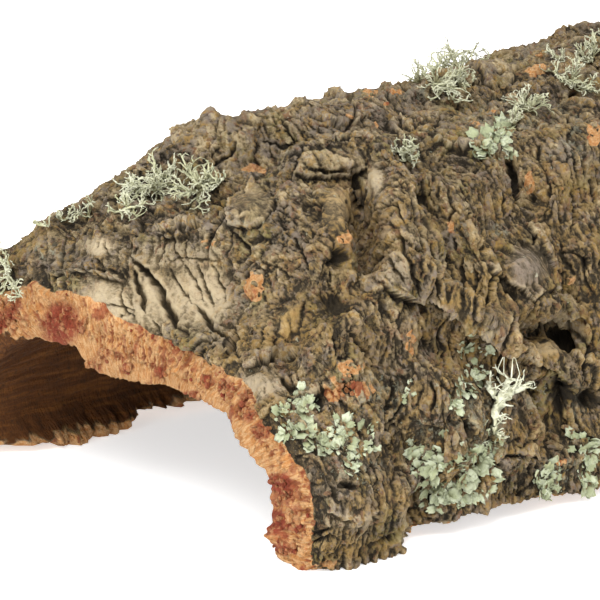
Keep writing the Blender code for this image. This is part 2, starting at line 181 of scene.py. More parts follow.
def wave(points, size, seed=0):
    p = (points / np.asarray(size) + seed * 17.31).astype(np.float32)
    whole = np.floor(p).astype(np.int32)
    part = p - whole
    blend = part * part * part * (part * (part * 6 - 15) + 10)
    total = np.zeros(len(p), np.float32)
    for cx in (0, 1):
        for cy in (0, 1):
            for cz in (0, 1):
                h = shuffle[(whole[:, 0] + cx) & 255]
                h = shuffle[(h + whole[:, 1] + cy) & 255]
                h = shuffle[(h + whole[:, 2] + cz) & 255]
                slope = slopes[h]
                dot = ((part[:, 0] - cx) * slope[:, 0] + (part[:, 1] - cy) * slope[:, 1]
                       + (part[:, 2] - cz) * slope[:, 2])
                weight = blend[:, 0] if cx else 1 - blend[:, 0]
                weight = weight * (blend[:, 1] if cy else 1 - blend[:, 1])
                weight = weight * (blend[:, 2] if cz else 1 - blend[:, 2])
                total += weight * dot
    return total * 1.6


def roughness(points, size, seed=0, octaves=3):
    total, size = 0.0, np.asarray(size, float)
    for k in range(octaves):
        total = total + wave(points, size / 2 ** k, seed + k) / 2 ** k
    return total


def cells(q, size, seed=0):
    # cells on a plane: how far the next cell is, the cell's own number, and chips tilted at random
    p = (q / np.asarray(size) + seed * 5.17).astype(np.float32)
    whole = np.floor(p).astype(np.int32)
    near = np.full(len(p), 9.0, np.float32)
    second = near.copy()
    name = np.zeros(len(p), np.int32)
    tilt = np.zeros(len(p), np.float32)
    for cx in (-1, 0, 1):
        for cy in (-1, 0, 1):
            h = shuffle[(whole[:, 0] + cx) & 255]
            h = shuffle[(h + whole[:, 1] + cy + seed) & 255]
            place = cellPlaces[h]
            dx = whole[:, 0] + cx + place[:, 0] - p[:, 0]
            dy = whole[:, 1] + cy + place[:, 1] - p[:, 1]
            away = np.hypot(dx, dy)
            closer = away < near
            second = np.where(closer, near, np.minimum(second, away))
            name = np.where(closer, h, name)
            tilt = np.where(closer, dx * slopes[h, 0] + dy * slopes[h, 1], tilt)
            near = np.where(closer, away, near)
    return second - near, name / 255.0, tilt


# the bark: the CAD slab's own shape, made fine, then weathered

barkShape = {
    "voxel": 0.80,              # mm
    "quickVoxel": 1.5,
    "smoothing": 14,
    "pieces": {                 # from station, to station in mm, seen side or not, triangles
        "bark_near": (-9, 92, True, 195000),
        "bark_middle": (92, 190, True, 185000),
        "bark_far": (190, 399, True, 145000),
        "bark_left_near": (-9, 190, False, 90000),
        "bark_left_far": (190, 399, False, 88000),
    },
    "crownTurn": 1.75,          # where the seen side ends, as an angle from the right foot
    "startOfRow": -193.2,       # x of station 0 in mm
}

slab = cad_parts["cork_slab"]
slabTree = BVHTree.FromObject(slab, bpy.context.evaluated_depsgraph_get())


def fineCopy(source):
    bark = source.copy()
    bark.data = source.data.copy()
    bark.name = "bark"
    bpy.context.scene.collection.objects.link(bark)
    bark.parent = None
    bark.matrix_world = Matrix.Identity(4)
    mesh = bmesh.new()
    mesh.from_mesh(bark.data)
    bmesh.ops.remove_doubles(mesh, verts=mesh.verts, dist=1e-6)
    mesh.to_mesh(bark.data)
    mesh.free()
    bark.data.materials.clear()
    applyModifier(bark, "REMESH", mode="VOXEL", voxel_size=barkShape["voxel"] * mm)
    rounds = max(2, round(barkShape["smoothing"] * (0.8 / barkShape["voxel"]) ** 2))
    applyModifier(bark, "SMOOTH", factor=0.5, iterations=rounds)
    return bark


def meshArrays(data):
    points = np.empty(len(data.vertices) * 3, np.float32)
    data.vertices.foreach_get("co", points)
    normals = np.empty(len(data.vertices) * 3, np.float32)
    data.vertex_normals.foreach_get("vector", normals)
    return points.reshape(-1, 3).astype(np.float64), normals.reshape(-1, 3).astype(np.float64)


def putPoints(data, points):
    data.vertices.foreach_set("co", points.astype(np.float32).ravel())
    data.update()


def archTable():
    stations = np.arange(barkShape["startOfRow"], -barkShape["startOfRow"] + 1, 2.0) * mm
    turns = np.radians(np.arange(1.0, 180.0, 1.5))
    inner = np.full((len(stations), len(turns)), np.nan)
    outer = inner.copy()
    for i, x in enumerate(stations):
        for j, turn in enumerate(turns):
            way = Vector((0.0, -math.cos(turn), math.sin(turn)))
            start = Vector((x, 0.0, 0.0))
            hit = slabTree.ray_cast(start, way, 0.3)
            back = slabTree.ray_cast(start + way * 0.3, -way, 0.3)
            if hit[0] and back[0]:
                inner[i, j] = (hit[0] - start).length
                outer[i, j] = (back[0] - start).length
    for table in (inner, outer):
        for j in range(len(turns)):
            good = np.flatnonzero(~np.isnan(table[:, j]))
            table[:, j] = np.interp(np.arange(len(stations)), good, table[good, j])
        for i in list(range(6)) + list(range(-6, 0)):       # the ragged ends, evened along the arch
            table[i] = np.convolve(np.pad(table[i], 3, "edge"), np.ones(7) / 7, "valid")
    return stations, turns, inner, outer


def readTable(table, stations, turns, x, turn):
    i = np.clip((x - stations[0]) / (stations[1] - stations[0]), 0, len(stations) - 1.001)
    j = np.clip((turn - turns[0]) / (turns[1] - turns[0]), 0, len(turns) - 1.001)
    i0, j0 = i.astype(int), j.astype(int)
    fi, fj = i - i0, j - j0
    return ((table[i0, j0] * (1 - fi) + table[i0 + 1, j0] * fi) * (1 - fj)
            + (table[i0, j0 + 1] * (1 - fi) + table[i0 + 1, j0 + 1] * fi) * fj)


bark = fineCopy(slab)
print("bark remeshed", len(bark.data.vertices), "points")
basePoints, baseNormals = meshArrays(bark.data)
stations, turns, innerTable, outerTable = archTable()
turn = np.arctan2(np.maximum(basePoints[:, 2], 0), -basePoints[:, 1])
radius = np.hypot(basePoints[:, 1], basePoints[:, 2])
inR = readTable(innerTable, stations, turns, basePoints[:, 0], turn)
outR = readTable(outerTable, stations, turns, basePoints[:, 0], turn)
depthShare = (radius - inR) / (outR - inR)      # 0 on the belly, 1 on the weathered side
edgeEnds = np.empty(len(bark.data.edges) * 2, np.int32)
bark.data.edges.foreach_get("vertices", edgeEnds)
edgeA, edgeB = edgeEnds[0::2], edgeEnds[1::2]
edgeCount = np.bincount(edgeA, minlength=len(basePoints)) + np.bincount(edgeB, minlength=len(basePoints))


def mend(values, rounds):
    spread = values.copy()
    for _ in range(rounds):
        total = np.bincount(edgeA, spread[edgeB], len(values))
        total = total + np.bincount(edgeB, spread[edgeA], len(values))
        spread = total / np.maximum(edgeCount, 1)
    return spread


depthShare = mend(depthShare, 6)
station = basePoints[:, 0] / mm - barkShape["startOfRow"]
meanOuter = outerTable.mean(axis=0)
walked = np.concatenate([[0], np.cumsum(np.hypot(np.diff(meanOuter), np.diff(turns) * meanOuter[1:]))]) / mm
around = np.interp(turn, turns, walked)         # mm along the arch from the right foot
pixels = photoPixels(basePoints)
facing = baseNormals @ viewBack
flat = np.stack([station, around], axis=1)      # the bark unrolled, in mm
solid = basePoints / mm
print("bark measured", round(walked[-1]), "mm round")

# near the two breaks and the feet, the weathered side starts further out
edges = np.maximum.reduce([1 - smooth(14, 26, station), smooth(352, 366, station),
                           1 - smooth(5, 16, basePoints[:, 2] / mm)])
weathered = smooth(0.40 + 0.38 * edges, 0.50 + 0.38 * edges,
                   mend(depthShare, 8) + 0.04 * wave(solid, 5.0, 3))
belly = 1 - smooth(0.07, 0.18, depthShare + 0.03 * wave(solid, 6.0, 4))
broken = np.clip(1 - weathered - belly, 0, 1)
seen = smooth(0.02, 0.2, facing) * smooth(0.5, 0.9, depthShare)


# marks that the photo shows, in its own pixels: (width, depth in mm, points)

crackMarks = [
    (2.4, 4.5, [(444, 244), (447, 262), (446, 284), (450, 306)]),
    (2.0, 3.6, [(472, 262), (476, 284), (474, 306), (470, 320)]),
    (2.2, 4.0, [(411, 258), (414, 276), (420, 294)]),
    (2.2, 4.0, [(400, 232), (404, 252), (410, 262)]),
    (2.0, 3.4, [(484, 236), (482, 254), (486, 266)]),
    (2.0, 3.6, [(531, 214), (536, 232), (532, 246)]),
    (2.0, 3.6, [(572, 190), (574, 214), (570, 232)]),
    (2.0, 3.6, [(546, 168), (549, 186), (545, 206)]),
    (2.4, 4.5, [(430, 380), (436, 396), (430, 412)]),
    (2.4, 4.5, [(390, 376), (394, 390), (388, 402)]),
    (2.2, 4.0, [(590, 340), (584, 364), (590, 386)]),
    (2.2, 4.0, [(350, 330), (362, 344), (372, 362)]),
    (1.6, 3.6, [(55, 240), (56, 254), (55, 266)]),
    (1.6, 2.6, [(44, 272), (60, 267), (89, 268), (115, 273), (127, 280)]),
    (1.4, 2.6, [(105, 238), (106, 248), (110, 256)]),
    (1.6, 3.2, [(97, 240), (98, 250)]),
    (2.8, 5.5, [(133, 268), (138, 284), (144, 298), (143, 314)]),
    (3.6, 7.0, [(129, 255), (150, 277), (161, 292), (168, 307), (176, 324), (186, 339)]),
    (1.6, 2.8, [(119, 270), (121, 298), (124, 311), (134, 317)]),
    (1.8, 3.2, [(150, 320), (158, 336)]),
    (1.2, 1.6, [(94, 325), (115, 317), (130, 316)]),
    (1.8, 3.0, [(196, 262), (205, 285), (214, 306)]),
    (1.8, 3.0, [(212, 262), (222, 285), (226, 302)]),
    (3.0, 5.0, [(196, 305), (213, 328), (228, 337)]),
    (4.6, 9.0, [(237, 329), (230, 346), (219, 359)]),
    (2.4, 4.0, [(233, 186), (223, 200), (217, 214), (214, 228)]),
    (1.8, 2.8, [(269, 188), (275, 202), (267, 218)]),
    (1.8, 3.0, [(233, 231), (243, 244), (252, 259)]),
    (2.2, 3.2, [(294, 236), (302, 252), (310, 272)]),
    (2.8, 5.0, [(247, 270), (250, 282)]),
    (2.6, 5.0, [(432, 240), (435, 262), (436, 282), (439, 302)]),
    (1.8, 3.4, [(421, 254), (422, 274)]),
    (2.2, 4.0, [(463, 258), (462, 285), (464, 312)]),
    (2.6, 5.5, [(496, 273), (492, 285), (487, 300), (480, 315)]),
    (1.4, 2.6, [(474, 270), (475, 286)]),
    (1.8, 3.2, [(455, 238), (457, 252)]),
    (1.8, 3.4, [(514, 314), (508, 330), (502, 345)]),
    (1.6, 2.8, [(448, 262), (452, 280), (450, 300)]),
    (2.6, 5.0, [(505, 350), (526, 360), (540, 369), (556, 374)]),
    (3.2, 6.0, [(503, 158), (511, 168), (517, 186), (519, 214)]),
    (3.0, 5.5, [(570, 92), (583, 102)]),
    (2.6, 4.0, [(450, 166), (464, 174), (478, 169)]),
    (1.8, 3.2, [(538, 143), (539, 168)]),
    (1.8, 3.2, [(558, 198), (560, 224)]),
    (1.8, 3.2, [(588, 180), (595, 200)]),
    (1.8, 3.0, [(505, 190), (504, 218)]),
    (2.0, 3.0, [(411, 190), (427, 203)]),
    (1.8, 3.0, [(410, 211), (419, 223)]),
    (2.4, 4.0, [(275, 371), (289, 386), (308, 384)]),
    (2.6, 4.5, [(256, 366), (276, 356), (296, 352)]),
    (1.6, 2.4, [(306, 302), (300, 320), (297, 344)]),
    (1.6, 2.4, [(268, 320), (262, 340), (258, 356)]),
    (1.4, 2.0, [(281, 318), (276, 338), (270, 354)]),
    (2.6, 4.5, [(378, 440), (392, 452), (398, 470), (405, 488)]),
    (2.0, 3.5, [(404, 402), (395, 420), (380, 432)]),
    (2.2, 4.0, [(301, 546), (318, 541), (340, 537)]),
    (2.0, 3.5, [(303, 536), (322, 531), (336, 527)]),
    (2.4, 4.5, [(372, 548), (396, 538), (404, 524)]),
    (2.0, 3.5, [(438, 376), (449, 390), (452, 404)]),
    (2.4, 4.5, [(500, 458), (520, 456), (545, 459)]),
    (1.8, 3.0, [(330, 118), (345, 130), (352, 140)]),
    (1.8, 3.0, [(262, 140), (280, 146), (296, 144)]),
    (1.8, 3.0, [(386, 250), (392, 268), (404, 280)]),
    (2.0, 3.4, [(560, 240), (566, 262), (576, 276)]),
    (2.0, 3.4, [(583, 252), (589, 272)]),
    (1.6, 2.6, [(415, 318), (426, 338), (430, 356)]),
    (1.8, 3.2, [(438, 330), (446, 352), (444, 366)]),
    (4.0, 9.0, [(527, 329), (538, 324), (552, 327), (565, 336), (576, 350)]),
    (1.2, 2.0, [(74, 300), (92, 304), (120, 306), (138, 312)]),
    (1.4, 2.4, [(168, 268), (182, 290), (196, 306)]),
    (1.4, 2.4, [(182, 262), (200, 288), (208, 304)]),
    (1.2, 1.8, [(160, 262), (190, 258), (222, 262)]),
    (2.2, 4.0, [(236, 140), (230, 154), (214, 166)]),
    (2.2, 4.0, [(282, 118), (288, 134), (304, 148)]),
    (2.0, 3.6, [(396, 110), (402, 126), (424, 134)]),
    (2.0, 3.6, [(352, 98), (356, 116), (344, 130)]),
    (2.2, 4.0, [(448, 190), (452, 208), (446, 226)]),
]

# raised on the left of the way they run, sheer on the right: (height in mm, reach in mm, points)
ledgeMarks = [
    (2.4, 7.0, [(44, 276), (60, 271), (90, 272), (128, 282)]),
    (5.2, 10.0, [(380, 280), (394, 293), (410, 302), (432, 300), (450, 311), (464, 322), (484, 332),
                (495, 340), (507, 353), (527, 359), (546, 371)]),
    (3.0, 8.0, [(242, 368), (256, 363), (276, 353), (296, 350)]),
    (2.4, 6.0, [(229, 190), (225, 206), (231, 224), (250, 230), (268, 218)]),
    (2.2, 6.0, [(482, 262), (501, 277), (520, 289), (536, 300), (544, 290)]),
    (3.0, 8.0, [(293, 172), (312, 179), (346, 178), (373, 166)]),
    (2.2, 6.0, [(150, 226), (176, 231), (202, 226)]),
    (2.4, 7.0, [(326, 512), (352, 520), (380, 512)]),
    (2.0, 6.0, [(100, 196), (140, 190), (176, 196)]),
    (2.4, 7.0, [(430, 140), (458, 150), (486, 152)]),
]

# hollows and lumps: (x, y, half width, half height, turn in degrees, depth in mm, minus for a lump)
hollowMarks = [
    (359, 197, 7.5, 27, -6, 11), (338, 257, 14, 13, 0, 12), (315, 212, 6, 12, 10, 5),
    (330, 172, 30, 4, 3, 4), (339, 208, 13, 26, -10, -3.0), (376, 180, 9, 17, -5, -3.0),
    (335, 160, 34, 13, 4, -3.5), (259, 175, 9, 4.5, 5, 6), (561, 341, 19, 8, 32, 11),
    (538, 328, 15, 6, -5, 10), (547, 351, 21, 9, 20, -4.0), (559, 394, 17, 21, -8, 14),
    (559, 292, 14, 3.5, 3, 6), (586, 262, 5, 7, 20, 5), (319, 400, 9, 13, 10, 7),
    (346, 388, 10, 12, -25, 5), (228, 345, 5, 12, 32, 6), (348, 486, 12, 5, 0, 5),
    (406, 541, 5, 10, 5, 7), (514, 500, 9, 12, 25, 6), (217, 221, 7, 9, 0, 4), (512, 170, 6, 12, -20, 4),
    (185, 333, 7, 6, 0, 7), (576, 97, 7, 6, 0, 5), (249, 276, 4, 6, -20, 5), (330, 305, 24, 13, 8, 4),
    (251, 205, 22, 21, 0, -2.6), (527, 268, 19, 22, -15, -2.4), (512, 293, 9, 6, 40, 4),
    (290, 328, 14, 24, 10, -2.8), (352, 520, 26, 9, -10, -2.6), (345, 500, 30, 20, 0, -1.5),
    (456, 420, 18, 15, 0, 2.5), (482, 382, 4, 7, 0, 4), (471, 428, 6, 9, 0, 5),
    (175, 240, 24, 5, -4, 3.5), (262, 240, 10, 6, 0, 2), (420, 330, 7, 20, 5, -2.0),
    (195, 300, 24, 26, -20, -1.8), (110, 305, 20, 20, 0, -1.6), (160, 345, 10, 6, 0, -1.5),
    (251, 121, 11, 3.5, 4, -4.5), (388, 92, 14, 6, 0, -3), (530, 60, 14, 8, 0, -2.5),
    (254, 285, 9, 15, 15, -2.2), (590, 400, 14, 10, 0, 6),
]


def toStroke(points, line):
    best = np.full(len(points), 1e9)
    side = np.zeros(len(points))
    along = np.zeros(len(points))
    line = [np.array(p, float) for p in line]
    for k, (a, b) in enumerate(zip(line, line[1:])):
        run = b - a
        share = np.clip((points - a) @ run / (run @ run), 0, 1)
        rel = points - a - share[:, None] * run
        away = np.hypot(rel[:, 0], rel[:, 1])
        closer = away < best
        best = np.where(closer, away, best)
        side = np.where(closer, np.sign(run[0] * rel[:, 1] - run[1] * rel[:, 0]), side)
        along = np.where(closer, (k + share) / (len(line) - 1), along)
    return best, side, along


def nearBox(points, line, margin):
    low, high = np.min(line, axis=0) - margin, np.max(line, axis=0) + margin
    return np.flatnonzero(np.all((points > low) & (points < high), axis=1) & (seen > 0))


def sidewaysWaves(size, seed):
    return np.stack([wave(solid, size, seed), wave(solid, size, seed + 1)], axis=1)


def markField():
    lift = np.zeros(len(basePoints))
    # painted shade: how dark the cracks, the hollows and the ground under the ledges are coloured
    recessShade = np.zeros(len(basePoints))
    # painted highlight along the upper rims of the ledges
    rimHighlights = np.zeros(len(basePoints))          # the lit upper rims of the ledges
    wobble = pixels + sidewaysWaves(4.0, 21) * 2.4
    wobble += sidewaysWaves(1.6, 23) * 1.2
    for width, depth, line in crackMarks:
        near = nearBox(pixels, line, 12)
        away, _, along = toStroke(wobble[near], line)
        taper = 1 - 0.75 * np.abs(2 * along - 1) ** 3
        share = np.clip(1 - away / (width * 1.25 * taper), 0, 1) ** 0.8
        lift[near] -= depth * taper * share * seen[near]
        recessShade[near] = np.maximum(recessShade[near], share * seen[near])
    for height, reach, line in ledgeMarks:
        near = nearBox(pixels, line, 40)
        away, side, along = toStroke(wobble[near], line)
        taper = smooth(0, 0.12, along) * smooth(0, 0.12, 1 - along)
        above = np.where(side < 0, np.exp(-away / (reach * 2.2)), 0)
        rim = np.where(side < 0, np.clip(1.3 - away / 3.2, 0, 1), 0)
        rimHighlights[near] = np.maximum(rimHighlights[near], rim * taper * seen[near])
        below = np.where(side > 0, np.exp(-away / 6.0), 0)
        lift[near] += height * taper * (above - 0.8 * below) * seen[near]
        # painted shade under the ledge
        recessShade[near] = np.maximum(recessShade[near], 0.8 * below * taper * seen[near])
    for x, y, half, tall, turned, depth in hollowMarks:
        near = nearBox(pixels, [(x, y), (x, y)], 1.5 * max(half, tall) + 6)
        c, s = math.cos(math.radians(turned)), math.sin(math.radians(turned))
        rel = wobble[near] - (x, y)
        away = np.hypot((rel[:, 0] * c + rel[:, 1] * s) / half, (-rel[:, 0] * s + rel[:, 1] * c) / tall)
        share = np.clip(1.15 - away, 0, 1)
        share = share * share * (3 - 2 * share)
        lift[near] -= depth * share * seen[near]
        if depth > 0:
            # painted shade in the deeper hollows
            dark = np.clip(share * 1.3, 0, 1) * min(depth / 6, 1)
            recessShade[near] = np.maximum(recessShade[near], dark * seen[near])
    return lift, recessShade, rimHighlights


# where the outside differs: (x, y, half width, half height, strength) in the photo's pixels
smoothSpots = [
    (468, 280, 44, 32, 0.45), (545, 350, 26, 14, 0.8), (440, 225, 26, 16, 0.3), (105, 308, 36, 36, 1),
    (195, 292, 42, 44, 0.95), (150, 296, 34, 44, 0.9), (100, 246, 22, 12, 0.8), (62, 258, 30, 10, 0.4),
    (335, 208, 16, 28, 1), (251, 205, 25, 24, 0.9), (527, 268, 24, 28, 1), (262, 385, 34, 16, 0.6),
    (292, 325, 18, 26, 0.8), (540, 346, 22, 10, 0.7), (375, 182, 12, 20, 0.6), (510, 315, 26, 22, 0.5),
    (335, 160, 36, 13, 0.5),
]


def spotField(spots, points=None, hard=1.2):
    total = np.zeros(len(basePoints))
    points = pixels if points is None else points
    for x, y, half, tall, strength in spots:
        near = nearBox(pixels, [(x, y), (x, y)], 1.4 * max(half, tall) + 6)
        away = np.hypot((points[near, 0] - x) / half, (points[near, 1] - y) / tall)
        total[near] = np.maximum(total[near], strength * smooth(0, 1, (1.25 - away) * hard) * seen[near])
    return total


barkRelief = {                  # heights in mm
    "lumps": 1.3,
    "furrows": 3.0,             # long cracks that run round the arch
    "thinFurrows": 1.2,
    "threads": 0.3,
    "steps": 1.1,               # peeled layers
    "scales": 2.0,              # the knobbly crown
    "tear": 3.0,                # broken ends and feet
    "shoulder": 3.4,            # how far the near left shoulder lies below the CAD, as in the photo
    "rightLip": 8.0,            # crumbled cork that stands in from the near right leg
    "leftLip": 15.0,            # and from the foot of the left leg
}

# cells of broken bark: (along, around in mm) and a seed
barkCells = {
    "flakes": ((9.0, 22.0), 3),
    "smallFlakes": ((4.4, 10.0), 5),
    "plates": ((9.0, 11.0), 6),
    "chips": ((3.4, 4.4), 4),
    "rocks": ((15.0, 19.0), 9),
    "strands": ((2.4, 10.0), 11),
    "grit": ((1.7, 1.9), 8),
    "crumbs": ((2.6, 2.6), 74),
}

# furrows of the flank: (along, around in mm), a seed and how wide they open
barkFurrows = {
    "long": ((8.0, 44.0), 41, 0.075),
    "thin": ((3.4, 22.0), 42, 0.10),
    "thread": ((1.5, 11.0), 44, 0.25),
    "cross": ((9.0, 16.0), 45, 0.06),
}

crown = smooth(0.30, 0.42, around / walked[-1]) * (1 - smooth(0.62, 0.74, around / walked[-1]))


def onSheet(q):
    return np.column_stack([q, q[:, 0] * 0])


def sheetWave(q, size, seed):
    return wave(onSheet(q), (*size, 1.0), seed)


def furrow(q, size, seed, sharp):
    return 1 - smooth(0.0, sharp, np.abs(sheetWave(q, size, seed)))


def weather():
    r = barkRelief
    marks, recessShade, rimHighlights = markField()
    calm = spotField(smoothSpots)
    rough = 1 - 0.93 * calm
    warp = np.stack([roughness(solid, 24.0, 31, 2), roughness(solid, 24.0, 33, 2)], axis=1)
    small = np.stack([roughness(solid, 4.0, 35, 2), roughness(solid, 4.0, 36, 2)], axis=1)
    q = flat + warp * (3.4, 4.0) + small * (0.35, 0.7)
    uneven = smooth(-0.15, 0.35, wave(solid, 19.0, 37))
    long = furrow(q, *barkFurrows["long"]) * (0.15 + 0.85 * uneven)
    thin = furrow(q, *barkFurrows["thin"]) * (0.1 + 0.9 * smooth(-0.1, 0.35, wave(solid, 9.0, 43)))
    thread = furrow(q, *barkFurrows["thread"]) * smooth(-0.4, 0.3, wave(solid, 6.0, 49))
    cross = furrow(q[:, ::-1], *barkFurrows["cross"]) * smooth(0.05, 0.4, wave(solid, 12.0, 46))
    scaled = flat + warp * 5.0 + small * (1.3, 1.3)
    edge, name, tilt = cells(q, *barkCells["flakes"])
    edgeMid, nameMid, tiltMid = cells(q + small[:, ::-1], *barkCells["smallFlakes"])
    edgeTop, nameTop, tiltTop = cells(scaled, *barkCells["plates"])
    edgeSmall, nameSmall, tiltSmall = cells(scaled + small, *barkCells["chips"])
    edgeRock, nameRock, tiltRock = cells(flat + warp * 7.0 + small * (0.9, 0.9), *barkCells["rocks"])
    gapRock = 1 - smooth(0.0, 0.09, edgeRock)
    gap = 1 - smooth(0.0, 0.10, edge)
    gapMid = 1 - smooth(0.0, 0.12, edgeMid)
    gapTop = 1 - smooth(0.0, 0.14, edgeTop)
    gapSmall = 1 - smooth(0.0, 0.16, edgeSmall)
    layers = 2.2 * roughness(onSheet(q), (15.0, 26.0, 1.0), 47, 3)
    steps = np.floor(layers) + smooth(0.42, 0.58, layers - np.floor(layers)) - layers * 0.6

    straight = flat + warp * 2.5 + small * (0.35, 0.8)
    edgeStrand, nameStrand, tiltStrand = cells(straight, *barkCells["strands"])
    strands = 0.22 * sheetWave(straight, (2.1, 15.0), 50)
    strands += 0.2 * sheetWave(straight, (1.1, 8.0), 51)
    strands += 0.6 * (nameStrand - 0.5) + 0.8 * tiltStrand - 0.25 * (1 - smooth(0.0, 0.12, edgeStrand))
    flank = -r["furrows"] * long - r["thinFurrows"] * thin - 0.9 * cross + strands
    flank += 1.9 * (name - 0.5) + 2.5 * tilt - 0.8 * gap + 0.6 * (nameMid - 0.5) + 0.9 * tiltMid - 0.25 * gapMid
    top = (r["scales"] * (1.5 * nameRock + 0.6 * nameTop - 1.05) + 3.6 * tiltRock + 1.5 * tiltTop
           - 1.3 * gapRock - 0.5 * gapTop - 0.9 * thin + 0.8 * strands)
    chips = 0.6 * (nameSmall - 0.5) + 0.9 * tiltSmall - 0.2 * gapSmall
    outside = (r["lumps"] * roughness(solid, 15.0, 48, 2) * (0.6 + 0.4 * crown)
               + r["steps"] * steps * (0.65 + 0.35 * crown) + chips * (0.4 + 0.35 * crown))
    outside += flank * (1 - 0.8 * crown) + top * (0.15 + 0.85 * crown)
    lift = rough * outside + marks
    lift -= (r["shoulder"] * smooth(1.78, 2.02, turn) * (1 - smooth(2.3, 2.6, turn))
             * (1 - smooth(55, 100, station)))
    lift += calm * (0.4 * strands + 0.12 * chips - 0.35 * thin - 0.2 * cross)
    # painted shade in the furrows and in the gaps between flakes, plates and rocks
    recessShade = np.maximum.reduce([
        recessShade, long * (1 - 0.7 * crown) * rough, 0.7 * thin * rough, 0.6 * cross * rough,
        0.5 * gap * (1 - crown) * rough, 0.45 * gapTop * crown * rough, 0.85 * gapRock * crown * rough])

    inner = 0.7 * roughness(np.stack([station / 26, around / 3.0, station * 0], 1), 1.0, 61, 2)
    inner += 1.1 * roughness(solid, 15.0, 63, 3)
    across = np.stack([around, radius / mm, station * 0], 1)
    torn = 1.1 * wave(across, (3.2, 11.0, 1.0), 71) + 0.7 * wave(across, (1.5, 8.0, 1.0), 72)
    torn *= (smooth(4, 20, basePoints[:, 2] / mm) * smooth(0.3, 0.8, np.abs(baseNormals[:, 0]))
             * (1 - smooth(0.5, 0.8, depthShare)))
    torn += 1.2 * roughness(solid, 8.0, 73, 3) + 0.5 * roughness(solid, 3.0, 78, 2)
    crumbs = cells(np.stack([around, radius / mm], 1) + small, *barkCells["crumbs"])
    torn += 0.7 * (crumbs[1] - 0.5) - 0.5 * (1 - smooth(0, 0.3, crumbs[0]))
    coarse = (weathered * lift + belly * inner + broken * torn * r["tear"] / 2) * mm

    # crumbled lips that stand inwards, at the near right leg and along the left foot
    inwards = np.stack([basePoints[:, 0] * 0, -basePoints[:, 1] / radius,
                        -basePoints[:, 2] / radius], 1)
    ragged = 0.8 + 0.5 * roughness(solid, 8.0, 75, 3)
    low = 1 - smooth(20, 74, basePoints[:, 2] / mm)
    lip = r["rightLip"] * (1 - smooth(3, 22, station)) * low * (basePoints[:, 1] < 0) * ragged
    lip += 3.0 * (1 - smooth(2, 14, station)) * (1 - low) * ragged
    lip *= 1 - smooth(0.0, 0.75, depthShare)
    foot = (r["leftLip"] * (1 - smooth(2, 17, basePoints[:, 2] / mm)) * (basePoints[:, 1] > 0)
            * smooth(6, 30, station))
    fringe = (0.75 + 0.35 * roughness(solid * (1, 1, 0.4), 5.0, 76, 3)
              + 0.4 * wave(solid * (1, 1, 0.2), 24.0, 77))
    foot *= (1 - smooth(120, 190, station)) * np.clip(fringe, 0, 1.3)
    foot *= 1 - smooth(0.0, 0.8, depthShare)
    moved = basePoints + baseNormals * coarse[:, None] + inwards * (lip * mm)[:, None]
    moved[:, 1] -= foot * mm
    putPoints(bark.data, moved)
    fresh, turned = meshArrays(bark.data)
    fine = (weathered * (0.13 - 0.33 * np.abs(roughness(solid, 2.8, 55, 3)))
            * (1 - 0.85 * calm) * (0.45 + 0.55 * crown))
    _, nameFine, tiltFine = cells(flat * (1.0, 0.55) + small * 0.6, *barkCells["grit"])
    fine += weathered * (0.32 * (nameFine - 0.5) + 0.38 * tiltFine) * (1 - 0.88 * calm)
    fine -= weathered * r["threads"] * thread * (1 - 0.5 * crown) * (1 - 0.5 * calm)
    fine += (1 - weathered) * 0.35 * roughness(solid, 2.4, 56, 2) * (0.4 + 0.6 * broken)
    moved = fresh + turned * (fine * mm)[:, None]
    bump = coarse / mm + fine
    # how far each point stands above or below its surroundings, used for painted light and shade
    hollow = bump - mend(bump, 4)
    wide = bump - mend(bump, 24)
    tone = (0.6 * (name + (nameRock - name) * crown - 0.5)
            + 0.45 * (nameMid + (nameTop - nameMid) * crown - 0.5)
            + 0.5 * wave(solid, 9.0, 57) + 0.35 * sheetWave(q, (3.0, 10.0), 58))
    return moved, recessShade * weathered, calm, hollow, wide, tone, rimHighlights


barkPoints, recessShade, calm, hollow, wide, toneWave, rimHighlights = weather()
low, high = np.array(cadBox[0]) - 0.006, np.array(cadBox[1]) + 0.006
barkPoints = np.clip(barkPoints, low, high)
barkPoints[:, 2] = np.maximum(barkPoints[:, 2], 0.0)
putPoints(bark.data, barkPoints)
print("bark weathered")


# what colours the bark, as values on its points

freshSpots = [
    (254, 286, 9, 16, 1), (350, 368, 13, 8, 1), (333, 390, 10, 13, 1), (364, 389, 10, 9, 1),
    (254, 169, 13, 5, 1), (536, 71, 11, 7, 1), (594, 133, 8, 13, 1), (530, 184, 6, 12, 0.8),
    (412, 342, 5, 14, 0.9), (370, 92, 9, 5, 0.8), (398, 90, 8, 4, 0.9), (208, 244, 8, 5, 0.7),
    (345, 238, 10, 7, 0.6), (493, 113, 6, 3, 0.9), (474, 122, 6, 3, 0.7), (385, 104, 4, 3, 0.8),
    (452, 226, 5, 8, 0.5), (560, 462, 8, 4, 0.6), (568, 280, 10, 6, 0.5), (498, 498, 8, 8, 0.4),
    (320, 565, 18, 6, 0.5), (170, 210, 16, 7, 0.45), (470, 235, 6, 5, 0.3),
]
rustSpots = [
    (60, 324, 19, 24, 1), (104, 353, 7, 5, 0.8), (128, 368, 5, 6, 0.7), (160, 374, 7, 4, 0.7),
    (207, 381, 8, 4, 0.8), (12, 312, 4, 22, 0.9), (2, 320, 3, 18, 0.8), (96, 366, 8, 7, 0.9),
    (190, 396, 12, 6, 0.9), (226, 384, 8, 6, 0.7), (246, 414, 12, 8, 0.8), (262, 430, 9, 10, 0.9),
    (280, 484, 16, 11, 1), (276, 522, 16, 15, 1), (280, 500, 12, 7, 0.7), (282, 548, 11, 8, 0.9),
    (296, 526, 5, 8, 0.7), (294, 492, 8, 5, 0.7), (346, 388, 8, 11, 0.9), (334, 262, 12, 8, 0.5),
    (80, 327, 4, 5, 0.8),
]
